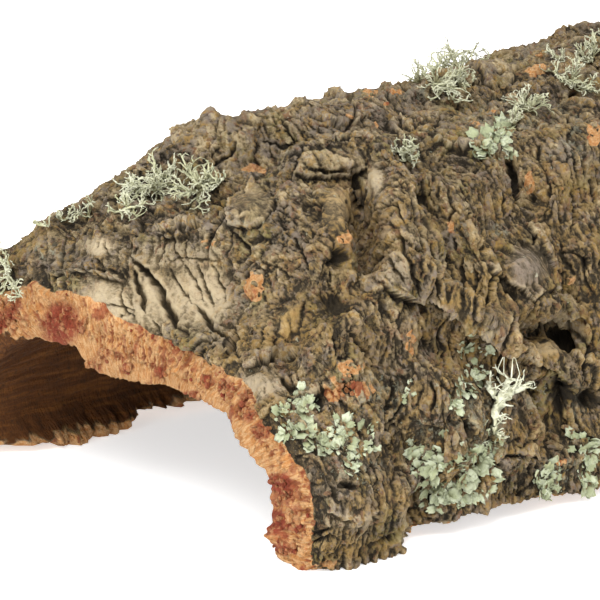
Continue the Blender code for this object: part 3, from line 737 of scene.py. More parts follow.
lightSpots = [
    (336, 205, 12, 22, 0.3), (548, 349, 20, 7, 0.4), (165, 255, 60, 16, 0.8), (210, 330, 24, 16, 0.5),
    (262, 320, 20, 20, 0.3), (105, 308, 36, 34, 1), (200, 300, 44, 36, 0.9), (150, 305, 34, 36, 0.8),
    (98, 246, 20, 12, 1), (376, 180, 10, 18, 1), (352, 520, 30, 10, 0.8), (262, 384, 34, 15, 0.6),
    (395, 270, 20, 16, 0.6), (310, 390, 12, 8, 0.8), (470, 265, 12, 8, 0.5), (450, 315, 16, 4, 0.8),
    (490, 336, 16, 5, 0.7), (420, 235, 20, 14, 0.4), (251, 205, 24, 22, 0.15), (330, 158, 34, 10, 0.2),
    (560, 320, 20, 10, 0.5), (430, 110, 22, 8, 0.4),
]
ochreSpots = [
    (350, 232, 38, 52, 0.9), (598, 306, 26, 40, 1), (285, 330, 50, 28, 1), (345, 550, 34, 14, 1),
    (548, 350, 24, 12, 1), (545, 312, 26, 10, 0.8), (336, 205, 15, 26, 1), (500, 300, 22, 20, 0.6),
    (336, 208, 18, 30, 1), (470, 290, 44, 34, 0.8), (545, 345, 26, 16, 0.9), (290, 328, 22, 30, 0.9),
    (250, 345, 30, 24, 0.6), (560, 270, 26, 16, 0.7), (600, 240, 30, 40, 0.5), (370, 225, 14, 26, 0.8),
    (340, 300, 40, 18, 0.7), (380, 545, 30, 9, 0.8), (330, 548, 30, 9, 0.6), (120, 330, 30, 18, 0.3),
    (395, 240, 30, 20, 0.4), (540, 500, 24, 10, 0.7), (470, 510, 20, 10, 0.5),
]
greySpots = [
    (527, 268, 22, 26, 1), (262, 384, 36, 16, 0.7), (60, 265, 46, 14, 0.6), (330, 480, 30, 30, 0.4),
    (380, 100, 60, 14, 0.4), (340, 125, 60, 20, 0.4), (400, 350, 30, 30, 0.35), (180, 225, 40, 12, 0.5),
]
paleCrustSpots = [
    (45, 252, 22, 10, 0.8), (380, 395, 30, 26, 0.7), (430, 420, 20, 20, 0.7), (500, 230, 12, 8, 0.8),
    (360, 470, 26, 18, 0.7), (160, 185, 46, 20, 0.7), (420, 90, 36, 12, 0.6), (500, 120, 40, 24, 0.6),
    (330, 440, 24, 24, 0.7), (300, 400, 18, 16, 0.8), (560, 470, 30, 16, 0.7), (480, 430, 30, 34, 0.7),
    (240, 228, 16, 10, 0.4), (120, 325, 10, 10, 0.5), (570, 130, 20, 30, 0.5), (470, 230, 16, 10, 0.4),
    (575, 400, 16, 20, 0.4),
]


shadowSpots = [
    (358, 198, 8, 21, 1), (338, 257, 14, 12, 1), (316, 212, 5, 10, 0.9), (560, 393, 18, 20, 1),
    (588, 402, 14, 12, 0.8), (556, 337, 19, 7, 0.9), (559, 292, 14, 4, 0.9), (228, 345, 5, 13, 0.9),
    (319, 402, 8, 12, 0.9), (346, 388, 4, 7, 0.8), (348, 486, 12, 5, 0.8), (406, 541, 5, 9, 0.8),
    (514, 500, 10, 10, 0.9), (258, 177, 7, 4, 0.8), (217, 222, 6, 9, 0.8), (512, 186, 5, 24, 0.8),
    (435, 268, 4, 26, 0.9), (185, 333, 6, 6, 0.8), (249, 276, 4, 7, 0.9), (326, 304, 20, 9, 0.7),
    (471, 428, 7, 9, 0.8), (446, 286, 4, 16, 0.7), (392, 388, 6, 10, 0.6), (572, 212, 4, 18, 0.7),
    (532, 232, 4, 14, 0.7), (490, 300, 4, 14, 0.8), (344, 132, 5, 9, 0.6), (296, 146, 6, 4, 0.6),
    (578, 98, 7, 5, 0.7), (390, 412, 6, 9, 0.6), (365, 345, 8, 6, 0.6),
]
# places made lighter or darker: partly the bark's own tone, partly painted light and shade
shadeSpots = [
    (232, 112, 44, 18, 0.2), (136, 158, 26, 20, 0.14), (105, 200, 60, 20, 0.24), (30, 236, 40, 18, 0.22),
    (178, 238, 24, 20, -0.18), (245, 200, 34, 30, -0.12), (330, 210, 22, 56, -0.18),
    (334, 300, 26, 24, -0.16), (340, 118, 22, 16, -0.08), (385, 235, 24, 44, 0.24),
    (578, 235, 24, 22, -0.10), (538, 275, 22, 26, -0.12), (415, 320, 28, 24, 0.2),
    (465, 358, 36, 18, 0.28), (320, 398, 46, 20, -0.26), (420, 395, 22, 22, 0.22),
    (572, 395, 32, 26, -0.30), (360, 468, 50, 40, -0.2), (555, 478, 46, 26, -0.2),
    (510, 478, 30, 22, -0.16), (490, 308, 26, 18, -0.10), (182, 322, 26, 18, -0.10),
    (460, 520, 34, 14, -0.14), (310, 520, 24, 34, -0.14), (580, 320, 26, 24, 0.24),
    (70, 280, 34, 12, -0.06),
]


def barkValues():
    speckle = roughness(solid, 5.0, 91, 3)
    fresh = broken * (station < 30)
    fresh = np.maximum(fresh, broken * (station > 340) * 0.75)
    fresh = np.maximum(fresh, broken * smooth(0.0, 0.5, speckle + 0.45) * 0.6)
    ragged = wave(solid, 4.0, 93)
    reach = 15.5 - 8 * smooth(1.7, 2.4, turn) - 12 * smooth(2.4, 2.7, turn)
    fresh = np.maximum(fresh, (1 - weathered) * (1 - smooth(-1.5, 1.5, station - reach + 3 * ragged)))
    height = basePoints[:, 2] / mm
    fresh = np.maximum(fresh, 0.53 * (1 - weathered) * (1 - smooth(5, 9, height + 4 * ragged)))
    spots = photoPixels(barkPoints) + sidewaysWaves(3.0, 83) * 4.0
    torn = spots + sidewaysWaves(6.0, 95) * 13.0
    shadows = spotField(shadowSpots, torn, 1.2) * smooth(-0.45, 0.05, wave(solid, 4.0, 97))
    patches = spotField(freshSpots, spots, 2.0) * smooth(-0.5, -0.2, wave(solid, 3.4, 85))
    hidden = (1 - smooth(-0.3, -0.1, facing)) * weathered * smooth(0.62, 0.72, wave(solid, 15.0, 86))
    fresh = np.maximum.reduce([fresh, patches, hidden * 0.8])
    rust = np.zeros(len(basePoints))
    for x, y, half, tall, strength in rustSpots:
        at = np.flatnonzero((np.abs(spots[:, 0] - x) < 1.4 * half)
                            & (np.abs(spots[:, 1] - y) < 1.4 * tall)
                            & (station < 90) & (facing > -0.35))
        away = np.hypot((spots[at, 0] - x) / half, (spots[at, 1] - y) / tall)
        rust[at] = np.maximum(rust[at], strength * smooth(0, 0.5, 1.2 - away))
    rust *= smooth(0.2, 0.5, fresh)
    rust = np.maximum(rust, fresh * 0.55 * smooth(0.25, 0.5, wave(solid, (7.0, 3.0, 7.0), 87)) * (broken + 0.2))
    unseen = 1 - smooth(0.0, 0.2, facing)       # what the photo doesn't show gets its patches from noise
    # pale plates, and painted highlight along the ledge rims
    light = np.maximum(spotField(lightSpots, spots), 0.8 * rimHighlights)
    light = light + unseen * 0.5 * smooth(0.0, 0.5, wave(solid, 26.0, 88))
    ochre = spotField(ochreSpots, spots) + unseen * 0.5 * smooth(0.0, 0.5, wave(solid, 22.0, 89))
    ochre = np.maximum(ochre, 0.65 * (1 - crown) * smooth(-0.4, 0.3, wave(solid, 16.0, 94)))
    grey = spotField(greySpots, spots)
    crust = spotField(paleCrustSpots, spots) + unseen * 0.6 * smooth(0.1, 0.5, wave(solid, 24.0, 90))
    # tone: painted light on raised bits and painted shade in hollows, with the bark's own tone from cells and
    # noise
    tone = (0.49 + 0.36 * toneWave + 0.24 * np.clip(hollow / 0.55, -1.2, 1)
            + 0.16 * np.clip(wide / 1.6, -1.2, 1))
    tone += 0.13 * wave(solid, 24.0, 92) + 0.06 * speckle
    tone += 0.16 * smooth(1.42, 1.58, turn) * (1 - smooth(2.2, 2.5, turn)) * smooth(40, 70, station)
    # painted light and shade, with the bark's own tone, at the shade spots
    for x, y, half, tall, strength in shadeSpots:
        tone += strength * spotField([(x, y, half, tall, 1.0)], spots, 0.8)
    # painted shade: dark colour in the cracks, furrows and hollows, and painted shadows where deep shade falls
    return {"fresh": fresh, "rust": rust, "light": light, "ochre": ochre, "grey": grey,
            "crust": crust * weathered, "paintedRecessShade": np.maximum(0.8 * recessShade, shadows * (1 - patches)),
            "calm": calm, "belly": belly * (1 - smooth(0.3, 0.6, fresh)), "tone": tone}


barkNotes = barkValues()
for name, values in barkNotes.items():
    writeFloats(bark.data, name, np.clip(values, 0, 1))
writeVectors(bark.data, "unrolled", np.stack([station, around, radius / mm], 1) * mm)
print("bark coloured")


# shader groups

def nodeGroup(name, inputs, outputs):
    group = bpy.data.node_groups.new(name, "ShaderNodeTree")
    for label, kind, value in inputs:
        socket = group.interface.new_socket(label, in_out="INPUT", socket_type=kind)
        if value is not None:
            socket.default_value = value
    for label, kind in outputs:
        group.interface.new_socket(label, in_out="OUTPUT", socket_type=kind)
    return group, group.nodes.new("NodeGroupInput"), group.nodes.new("NodeGroupOutput")


class Tree:
    def __init__(self, tree):
        self.tree = tree

    def add(self, kind, settings=None, **links):
        node = self.tree.nodes.new(kind)
        for key, value in (settings or {}).items():
            setattr(node, key, value)
        for label, value in links.items():
            numbered = label[0] == "i" and label[1:].isdigit()      # i0 and i1 are sockets by number
            self.put(node.inputs[int(label[1:]) if numbered else label], value)
        return node

    def put(self, socket, value):
        if isinstance(value, bpy.types.NodeSocket):
            self.tree.links.new(value, socket)
        else:
            socket.default_value = value

    def noise(self, vector, scale, detail=3.0, rough=0.6, distortion=0.0):
        return self.add("ShaderNodeTexNoise", Vector=vector, Scale=scale, Detail=detail, Roughness=rough,
                        Distortion=distortion).outputs["Fac"]

    def ramp(self, value, low, high, toLow=0.0, toHigh=1.0):
        node = self.add("ShaderNodeMapRange", {"interpolation_type": "SMOOTHSTEP"}, Value=value)
        for key, number in (("From Min", low), ("From Max", high), ("To Min", toLow), ("To Max", toHigh)):
            node.inputs[key].default_value = number
        return node.outputs["Result"]

    def math(self, operation, a, b):
        return self.add("ShaderNodeMath", {"operation": operation}, i0=a, i1=b).outputs[0]

    def plus(self, a, b):
        return self.math("ADD", a, b)

    def minus(self, a, b):
        return self.math("SUBTRACT", a, b)

    def times(self, a, b):
        return self.math("MULTIPLY", a, b)

    def sway(self, tone, value, amount):
        # the tone, made lighter and darker by a value that runs from 0 to 1
        return self.plus(tone, self.times(self.minus(value, 0.5), amount))

    def mix(self, factor, a, b, blend="MIX"):
        node = self.tree.nodes.new("ShaderNodeMix")
        node.data_type, node.blend_type = "RGBA", blend
        self.put(node.inputs["Factor"], factor)
        self.put(node.inputs[6], a if isinstance(a, bpy.types.NodeSocket) else (*a, 1.0))
        self.put(node.inputs[7], b if isinstance(b, bpy.types.NodeSocket) else (*b, 1.0))
        return node.outputs[2]

    def stretch(self, vector, scale):
        return self.add("ShaderNodeMapping", Vector=vector, Scale=scale).outputs[0]


def grainGroup():
    group, given, result = nodeGroup("corkGrain",
                                     [("Vector", "NodeSocketVector", None), ("Fine", "NodeSocketFloat", 1.0)],
                                     [("Height", "NodeSocketFloat"), ("Speckle", "NodeSocketFloat")])
    t = Tree(group)
    vector = given.outputs["Vector"]
    coarse = t.noise(vector, 420.0, 6.0, 0.72)
    fine = t.noise(vector, 1300.0, 4.0, 0.7)
    pits = t.add("ShaderNodeTexVoronoi", {"feature": "F1"}, Vector=vector, Scale=900.0).outputs["Distance"]
    pitMask = t.ramp(pits, 0.12, 0.34)
    height = t.plus(coarse, t.times(fine, given.outputs["Fine"]))
    height = t.plus(height, t.times(pitMask, 0.25))
    t.put(result.inputs["Height"], height)
    t.put(result.inputs["Speckle"], t.plus(t.times(coarse, 0.6), t.times(fine, 0.4)))
    return group


corkGrain = grainGroup()


def flakeGroup():
    # small flat chips, each with its own height and tone
    group, given, result = nodeGroup("barkFlakes",
                                     [("Vector", "NodeSocketVector", None), ("Scale", "NodeSocketFloat", 420.0)],
                                     [("Height", "NodeSocketFloat"), ("Tone", "NodeSocketFloat")])
    t = Tree(group)
    bend = t.add("ShaderNodeTexNoise", Vector=given.outputs["Vector"], Scale=500.0, Detail=3.0).outputs["Color"]
    bend = t.add("ShaderNodeVectorMath", {"operation": "SCALE"}, i0=bend, Scale=0.0016).outputs[0]
    vector = t.add("ShaderNodeVectorMath", {"operation": "ADD"}, i0=given.outputs["Vector"], i1=bend).outputs[0]
    large = t.add("ShaderNodeTexVoronoi", Vector=vector, Scale=given.outputs["Scale"])
    small = t.add("ShaderNodeTexVoronoi", Vector=vector, Scale=t.times(given.outputs["Scale"], 2.3))
    largeTone = t.add("ShaderNodeSeparateColor", Color=large.outputs["Color"]).outputs[0]
    smallTone = t.add("ShaderNodeSeparateColor", Color=small.outputs["Color"]).outputs[0]
    tone = t.plus(t.times(largeTone, 0.55), t.times(smallTone, 0.45))
    height = t.minus(tone, t.times(large.outputs["Distance"], 0.5))
    t.put(result.inputs["Height"], height)
    t.put(result.inputs["Tone"], tone)
    return group


barkFlakes = flakeGroup()


def startMaterial(name, roughness):
    material = bpy.data.materials.new(name)
    material.use_nodes = True
    t = Tree(material.node_tree)
    shader = material.node_tree.nodes["Principled BSDF"]
    shader.inputs["Roughness"].default_value = roughness
    shader.inputs["Specular IOR Level"].default_value = 0.25
    place = t.add("ShaderNodeTexCoord").outputs["Object"]
    return material, t, shader, place


barkColours = {
    "darkest": (0.016, 0.0115, 0.006),
    "dark": (0.058, 0.043, 0.023),
    "middle": (0.142, 0.102, 0.050),
    "pale": (0.272, 0.205, 0.108),
    "light": (0.45, 0.355, 0.21),
    "plate": (0.43, 0.347, 0.222),
    "ochre": (0.31, 0.185, 0.047),
    "olive": (0.165, 0.142, 0.034),
    "brown": (0.18, 0.085, 0.042),
    "grey": (0.215, 0.175, 0.145),
    "ashen": (0.205, 0.166, 0.130),
    "crust": (0.36, 0.36, 0.26),
    "fresh": (0.47, 0.205, 0.062),
    "freshPale": (0.60, 0.365, 0.172),
    "rust": (0.24, 0.046, 0.020),
    # the inside: its own dark red-brown, made darker still as painted shade
    "belly": (0.076, 0.0235, 0.0022),
    "bellyPale": (0.165, 0.058, 0.0085),
}


# the notes that colour both the bark and its loose bits
bitNotes = ("fresh", "rust", "light", "ochre", "grey", "crust", "paintedRecessShade", "belly", "tone")


def corkBark():
    c = barkColours
    material, t, shader, place = startMaterial("corkBark", 0.92)
    notes = {name: t.add("ShaderNodeAttribute", {"attribute_name": name}).outputs["Fac"]
             for name in (*bitNotes, "calm")}
    unrolled = t.add("ShaderNodeAttribute", {"attribute_name": "unrolled"}).outputs["Vector"]
    grain = t.add("ShaderNodeGroup", {"node_tree": corkGrain}, Vector=place, Fine=0.6)
    speckle = grain.outputs["Speckle"]
    threads = t.noise(t.stretch(unrolled, (1.0, 0.22, 1.0)), 900.0, 4.0, 0.7, 0.3)
    blotches = t.noise(place, 55.0, 4.0, 0.6)
    patches = t.noise(place, 150.0, 4.0, 0.65, 0.3)
    hairs = t.noise(t.stretch(unrolled, (1.0, 0.14, 1.0)), 2300.0, 3.0, 0.7, 0.4)
    flakes = t.add("ShaderNodeGroup", {"node_tree": barkFlakes},
                   Vector=t.stretch(unrolled, (1.0, 0.5, 1.0)), Scale=480.0)
    mottled = t.add("ShaderNodeTexNoise", Vector=place, Scale=230.0, Detail=5.0, Roughness=0.75, Distortion=0.5)
    hue = t.add("ShaderNodeSeparateColor", Color=mottled.outputs["Color"]).outputs
    tone = t.sway(notes["tone"], threads, 0.5)
    tone = t.sway(tone, hairs, 0.5)
    busy = t.ramp(notes["calm"], 0.1, 0.9, 1.0, 0.28)
    tone = t.sway(tone, flakes.outputs["Tone"], t.times(busy, 0.62))
    tone = t.sway(tone, speckle, 0.9)
    # lighter where the bark is pale, and painted highlight on the ledge rims
    tone = t.plus(tone, t.times(notes["light"], 0.12))

    # colour by tone; the tone holds painted light and shade as well as the bark's own tone
    colour = t.mix(t.ramp(tone, 0.10, 0.34), c["darkest"], c["dark"])
    colour = t.mix(t.ramp(tone, 0.28, 0.55), colour, c["middle"])
    colour = t.mix(t.ramp(tone, 0.50, 0.78), colour, c["pale"])
    colour = t.mix(t.ramp(tone, 0.76, 1.05), colour, c["light"])
    varied = t.ramp(notes["calm"], 0.1, 0.9, 1.0, 0.3)      # smooth places keep one hue

    def shade(dark, bright, low=0.2, high=0.8):
        return t.mix(t.ramp(tone, low, high), c[dark], c[bright])

    def stain(under, mask, low, high, share, over):
        return t.mix(t.times(t.ramp(mask, low, high, 0.0, share), varied), under, over)

    colour = stain(colour, blotches, 0.50, 0.62, 0.6, shade("darkest", "olive"))
    clouds = t.noise(place, 72.0, 4.0, 0.62, 0.4)
    colour = stain(colour, clouds, 0.50, 0.60, 0.72, shade("darkest", "ashen", high=0.85))
    warm = t.mix(0.75, colour, shade("dark", "ochre"))
    colour = t.mix(t.times(notes["ochre"], t.ramp(patches, 0.3, 0.6, 0.5, 1.0)), colour, warm)
    brown = shade("darkest", "brown")
    colour = t.mix(t.ramp(t.noise(place, 110.0, 4.0, 0.7), 0.55, 0.68, 0.0, 0.6), colour, brown)
    greyed = shade("dark", "grey")
    colour = t.mix(t.times(notes["grey"], 0.8), colour, greyed)
    # plate colour on pale plates, and as painted highlight on the ledge rims
    plate = shade("middle", "plate", 0.15, 0.75)
    colour = t.mix(t.times(notes["light"], t.ramp(patches, 0.3, 0.5, 0.75, 1.0)), colour, plate)
    colour = stain(colour, hue[0], 0.52, 0.60, 0.75, shade("dark", "ochre", 0.15, 0.85))
    colour = stain(colour, hue[1], 0.55, 0.62, 0.8, brown)
    colour = stain(colour, hue[2], 0.53, 0.61, 0.7, greyed)
    crustMask = t.times(notes["crust"], t.ramp(t.noise(place, 260.0, 5.0, 0.75), 0.5, 0.6))
    colour = t.mix(t.times(crustMask, 0.7), colour, c["crust"])
    colour = t.mix(t.ramp(t.noise(place, 330.0, 3.0, 0.6), 0.68, 0.74, 0.0, 0.6), colour, c["crust"])
    # painted shade: the darkest colour laid into cracks, furrows, hollows and painted shadows
    colour = t.mix(t.ramp(notes["paintedRecessShade"], 0.35, 0.9, 0.0, 0.94), colour, c["darkest"])

    layers = t.noise(t.stretch(unrolled, (1.0, 1.0, 0.25)), 800.0, 4.0, 0.7)
    fresh = t.mix(t.ramp(layers, 0.38, 0.62), c["fresh"], c["freshPale"])
    fresh = t.mix(t.ramp(t.noise(place, 95.0, 4.0, 0.62), 0.56, 0.64, 0.0, 0.75), fresh, c["rust"])
    fresh = t.mix(t.ramp(speckle, 0.32, 0.43, 0.4, 0.0), fresh, c["rust"])
    # rust where the tone is low, which also lays painted shade into the fresh cork
    fresh = t.mix(t.ramp(notes["tone"], 0.1, 0.38, 0.7, 0.0), fresh, c["rust"])
    rustMask = t.times(notes["rust"], t.ramp(t.noise(place, 400.0, 3.0, 0.6), 0.34, 0.5, 0.55, 1.0))
    fresh = t.mix(rustMask, fresh, c["rust"])
    freshMask = t.ramp(t.sway(notes["fresh"], patches, 0.3), 0.40, 0.54)
    colour = t.mix(freshMask, colour, fresh)

    streaks = t.noise(t.stretch(unrolled, (0.10, 1.0, 1.0)), 420.0, 4.0, 0.65)
    inner = t.mix(t.ramp(streaks, 0.42, 0.72), c["belly"], c["bellyPale"])
    inner = t.mix(t.ramp(speckle, 0.36, 0.5, 0.6, 0.0), inner, c["darkest"])
    colour = t.mix(t.ramp(notes["belly"], 0.25, 0.8), colour, inner)
    t.put(shader.inputs["Base Color"], colour)

    bump = t.add("ShaderNodeBump", Strength=0.8, Distance=0.0008, Height=grain.outputs["Height"])
    height = t.plus(threads, t.times(hairs, 0.5))
    height = t.plus(height, t.times(flakes.outputs["Height"], 0.8))
    height = t.times(height, busy)
    wide = t.add("ShaderNodeBump", Strength=1.0, Distance=0.0019, Height=height, Normal=bump.outputs[0])
    t.put(shader.inputs["Normal"], wide.outputs[0])
    return material


barkMaterial = corkBark()


# the lichens

barkTree = BVHTree.FromObject(bark, bpy.context.evaluated_depsgraph_get())
chance = random.Random(11)


def barkAtPixel(px, py):
    return barkTree.ray_cast(*photoRay(px, py))[0]


def barkNear(point):
    place, normal, _, _ = barkTree.find_nearest(point)
    broad = slabTree.find_nearest(point)[1]
    return place, (normal * 0.35 + broad).normalized()


def nodeMiddle(node):
    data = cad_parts[node].data
    middle = Vector()
    for vertex in data.vertices:
        middle += vertex.co
    return middle / len(data.vertices)


leafShape = {"rows": 4, "columns": 7, "thickness": 0.07, "height": 0.62}     # as parts of a leaf's size
twigShape = {
    "sides": 3,
    "flatness": 0.5,
    "taper": 0.62,
    "low": 0.0012,              # a twig rises where it is lower over the bark than this, in metres
    "rise": 0.25,
    "high": 0.006,              # and sinks where it is higher than this
    "sink": -0.25,
    "close": 0.0005,            # closer to the bark than this, it is set off by the next value
    "clear": 0.0006,
    "forks": (0.85, 0.6, 0.3),  # how often a twig forks, from the stem outwards
}
fullTurn = 6.283


class Growth:
    # faces of many small leaves and twigs, gathered into one piece
    def __init__(self):
        self.points, self.faces, self.reach, self.tint = [], [], [], []

    def leaf(self, base, normal, heading, size, tint):
        # a cupped, wavy thallus with a notched rim; closed, with a thin underside
        side = normal.cross(heading).normalized()
        heading = side.cross(normal).normalized()
        rise = chance.uniform(0.15, 0.85)
        curl, cup = chance.uniform(0.1, 0.55), chance.uniform(-0.15, 0.4)
        lobes, turn = chance.choice((2, 3, 4)), chance.uniform(0, 6.3)
        wide = chance.uniform(0.7, 1.15)
        rows, columns = leafShape["rows"], leafShape["columns"]
        first = len(self.points)
        for lower in (0, 1):
            for i in range(rows):
                v = i / (rows - 1)
                for j in range(columns):
                    u = 2 * j / (columns - 1) - 1
                    out = v * (math.sqrt(1.04 - 0.8 * u * u) + 0.13 * v * math.cos(lobes * 2.6 * u + turn))
                    x = u * wide * (0.14 + 0.55 * v - 0.13 * v * v) * (1 + 0.1 * math.sin(4 * v + turn))
                    z = rise * out + curl * out * out + cup * u * u * v + 0.08 * math.sin(5 * u + turn) * v
                    if lower:
                        z -= leafShape["thickness"] * (1 - 0.6 * v)
                        out *= 0.97
                        x *= 0.96
                    bulge = normal * (z * leafShape["height"])
                    self.points.append(base + (heading * out + side * x + bulge) * size)
                    self.reach.append(v)
                    self.tint.append(tint - 0.35 * lower)
        step = rows * columns
        for i in range(rows - 1):
            for j in range(columns - 1):
                k = first + i * columns + j
                self.faces.append((k, k + columns, k + columns + 1, k + 1))
                k += step
                self.faces.append((k, k + 1, k + columns + 1, k + columns))
        rim = [first + j for j in range(columns)] + [first + i * columns + columns - 1 for i in range(1, rows)]
        rim += [first + (rows - 1) * columns + j for j in range(columns - 2, -1, -1)]
        rim += [first + i * columns for i in range(rows - 2, 0, -1)]
        for k, n in zip(rim, rim[1:] + rim[:1]):
            self.faces.append((k, n, n + step, k + step))

    def twig(self, path, width, tint, low, high):
        # a flattened, tapering strand with closed ends
        first, sides, flatness = len(self.points), twigShape["sides"], twigShape["flatness"]
        last = len(path) - 1
        for i, p in enumerate(path):
            ahead = (path[min(i + 1, last)] - path[max(i - 1, 0)]).normalized()
            up = slabTree.find_nearest(p)[1]
            side = ahead.cross(up).normalized()
            up = side.cross(ahead)
            thick = width * (1 - twigShape["taper"] * i / last)
            for k in range(sides):
                turn = 2 * math.pi / sides * k + 0.4 * i
                self.points.append(p + (side * math.cos(turn) + up * math.sin(turn) * flatness) * thick)
                self.reach.append(low + (high - low) * i / last)
                self.tint.append(tint)
        for i in range(last):
            for k in range(sides):
                m = first + sides * i
                n = (k + 1) % sides
                self.faces.append((m + k, m + n, m + sides + n, m + sides + k))
        self.faces.append(tuple(first + k for k in reversed(range(sides))))
        self.faces.append(tuple(first + sides * last + k for k in range(sides)))

    def branch(self, start, way, length, width, tint, level):
        path, p = [start], start.copy()
        steps = 4 if level else 6
        for i in range(steps):
            ground, normal = barkNear(p)
            height = (p - ground).dot(normal)
            way = way + Vector([chance.gauss(0, 0.26) for _ in range(3)])
            if height < twigShape["low"]:
                way += normal * twigShape["rise"]
            elif height > twigShape["high"]:
                way += normal * twigShape["sink"]
            way.normalize()
            p = p + way * (length / steps)
            ground, normal = barkNear(p)
            if (p - ground).dot(normal) < twigShape["close"]:
                p = ground + normal * twigShape["clear"]
            path.append(p.copy())
        self.twig(path, width, tint, 0.3 * (1 if level else 0) + 0.2 * level, 0.55 + 0.15 * level)
        if level < len(twigShape["forks"]):
            for i in range(1, len(path)):
                if i > 1 and chance.random() < twigShape["forks"][level]:
                    ground, normal = barkNear(path[i])
                    ahead = (path[i] - path[i - 1]).normalized()
                    side = ahead.cross(normal) * chance.choice((-1, 1))
                    turned = ahead * 0.75 + side * chance.uniform(0.5, 1.1) + normal * chance.uniform(-0.1, 0.5)
                    self.branch(path[i], turned.normalized(), length * chance.uniform(0.35, 0.6),
                                width * 0.72, tint, level + 1)

    def finish(self, name, material, slot, node):
        aboveFloor(self.points)
        piece = newPiece(name, self.points, self.faces, material)
        writeFloats(piece.data, "reach", self.reach)
        writeFloats(piece.data, "tint", self.tint)
        pick(piece)
        bpy.ops.object.shade_smooth()
        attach(piece, "root")
        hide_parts(node)
        print(name, triangleCount(self.faces), "triangles")


def lichenMaterial(name, dark, middle, pale):
    material, t, shader, place = startMaterial(name, 0.85)
    reach = t.add("ShaderNodeAttribute", {"attribute_name": "reach"}).outputs["Fac"]
    tint = t.add("ShaderNodeAttribute", {"attribute_name": "tint"}).outputs["Fac"]
    grain = t.add("ShaderNodeGroup", {"node_tree": corkGrain}, Vector=place, Fine=1.0)
    # darker at the base: painted shade between the lobes and twigs
    colour = t.mix(t.ramp(reach, 0.0, 0.5), dark, middle)
    rim = t.plus(t.times(reach, 0.8), t.minus(tint, 0.5))
    colour = t.mix(t.ramp(rim, 0.25, 0.95), colour, pale)
    colour = t.mix(t.ramp(grain.outputs["Speckle"], 0.36, 0.5, 0.5, 0.0), colour, dark)
    colour = t.mix(t.ramp(t.noise(place, 140.0, 3.0), 0.55, 0.7, 0.0, 0.4), colour, (0.42, 0.40, 0.20))
    t.put(shader.inputs["Base Color"], colour)
    bump = t.add("ShaderNodeBump", Strength=0.5, Distance=0.0003, Height=grain.outputs["Height"])
    t.put(shader.inputs["Normal"], bump.outputs[0])
    return material


leafyMaterial = lichenMaterial("leafyLichen", (0.13, 0.13, 0.062), (0.275, 0.30, 0.175), (0.46, 0.49, 0.35))
tuftedMaterial = lichenMaterial("tuftedLichen", (0.26, 0.24, 0.13), (0.46, 0.46, 0.29), (0.68, 0.68, 0.52))

# where leaves grow: ellipses in the photo's pixels (x, y, half width, half height, leaves),
# or a radius and a number of leaves at the node's own place; size is in metres
leafyLichens = {
    "leafy_lichen_leg_upper": {"size": 0.0036, "spots": [(297, 421, 19, 27, 110), (310, 400, 8, 9, 18)]},
    "leafy_lichen_leg": {"size": 0.0037, "spots": [
        (346, 437, 32, 20, 110), (351, 468, 9, 13, 26), (322, 440, 10, 10, 24)]},
    "leafy_lichen_flank_low": {"size": 0.0041, "spots": [
        (455, 474, 40, 27, 170), (432, 455, 26, 18, 60), (482, 445, 18, 20, 50), (440, 496, 22, 13, 44)]},
    "leafy_lichen_flank_high": {"size": 0.0035, "tint": 0.58, "spots": [
        (473, 383, 19, 13, 70), (473, 350, 14, 13, 36), (409, 402, 8, 15, 26), (455, 400, 10, 12, 20)]},
    "leafy_lichen_crown": {"size": 0.0042, "spots": [(492, 145, 22, 16, 90), (500, 128, 12, 8, 24)]},
    "leafy_lichen_far_foot": {"size": 0.0042, "spots": [
        (546, 487, 15, 18, 60), (589, 462, 12, 26, 80), (570, 440, 8, 8, 14)]},
    "leafy_lichen_left": {"size": 0.0045, "radius": 0.017, "leaves": 130},
    "leafy_lichen_far_end": {"size": 0.0045, "radius": 0.015, "leaves": 110},
}


def leafyPlaces(values, node):
    middle = nodeMiddle(node)
    for x, y, half, tall, count in values.get("spots", ()):
        heart = barkAtPixel(x, y) or middle
        for _ in range(count):
            turn, far = chance.uniform(0, fullTurn), math.sqrt(chance.random()) * chance.uniform(0.75, 1.15)
            place = barkAtPixel(x + half * far * math.cos(turn), y + tall * far * math.sin(turn))
            if place and (place - heart).length < 0.03:
                yield heart, place, far
    heart, normal = barkNear(middle)
    side = normal.orthogonal().normalized()
    for _ in range(values.get("leaves", 0)):
        turn, far = chance.uniform(0, fullTurn), math.sqrt(chance.random()) * chance.uniform(0.7, 1.1)
        way = side * math.cos(turn) + normal.cross(side) * math.sin(turn)
        yield heart, barkNear(heart + way * far * values["radius"])[0], far


def growLeafy():
    for node, values in leafyLichens.items():
        growth = Growth()
        patchiness = chance.uniform(0, 50)
        for heart, place, far in leafyPlaces(values, node):
            if wave(np.array([place]) / mm, 6.0, patchiness)[0] < -0.12:
                continue
            _, normal = barkNear(place)
            outward = (place - heart) * 60 + Vector([chance.gauss(0, 0.8) for _ in range(3)])
            size = values["size"] * chance.choice((0.45, 0.6, 0.75, 0.9, 1.15)) * chance.uniform(0.8, 1.15)
            tint = values.get("tint", 0.5) + chance.uniform(-0.35, 0.35)
            growth.leaf(place - normal * 0.0003, normal, outward, size, tint)
        growth.finish(node.replace("leafy_lichen", "leafy_lobes"), leafyMaterial, "leafy_lichen", node)


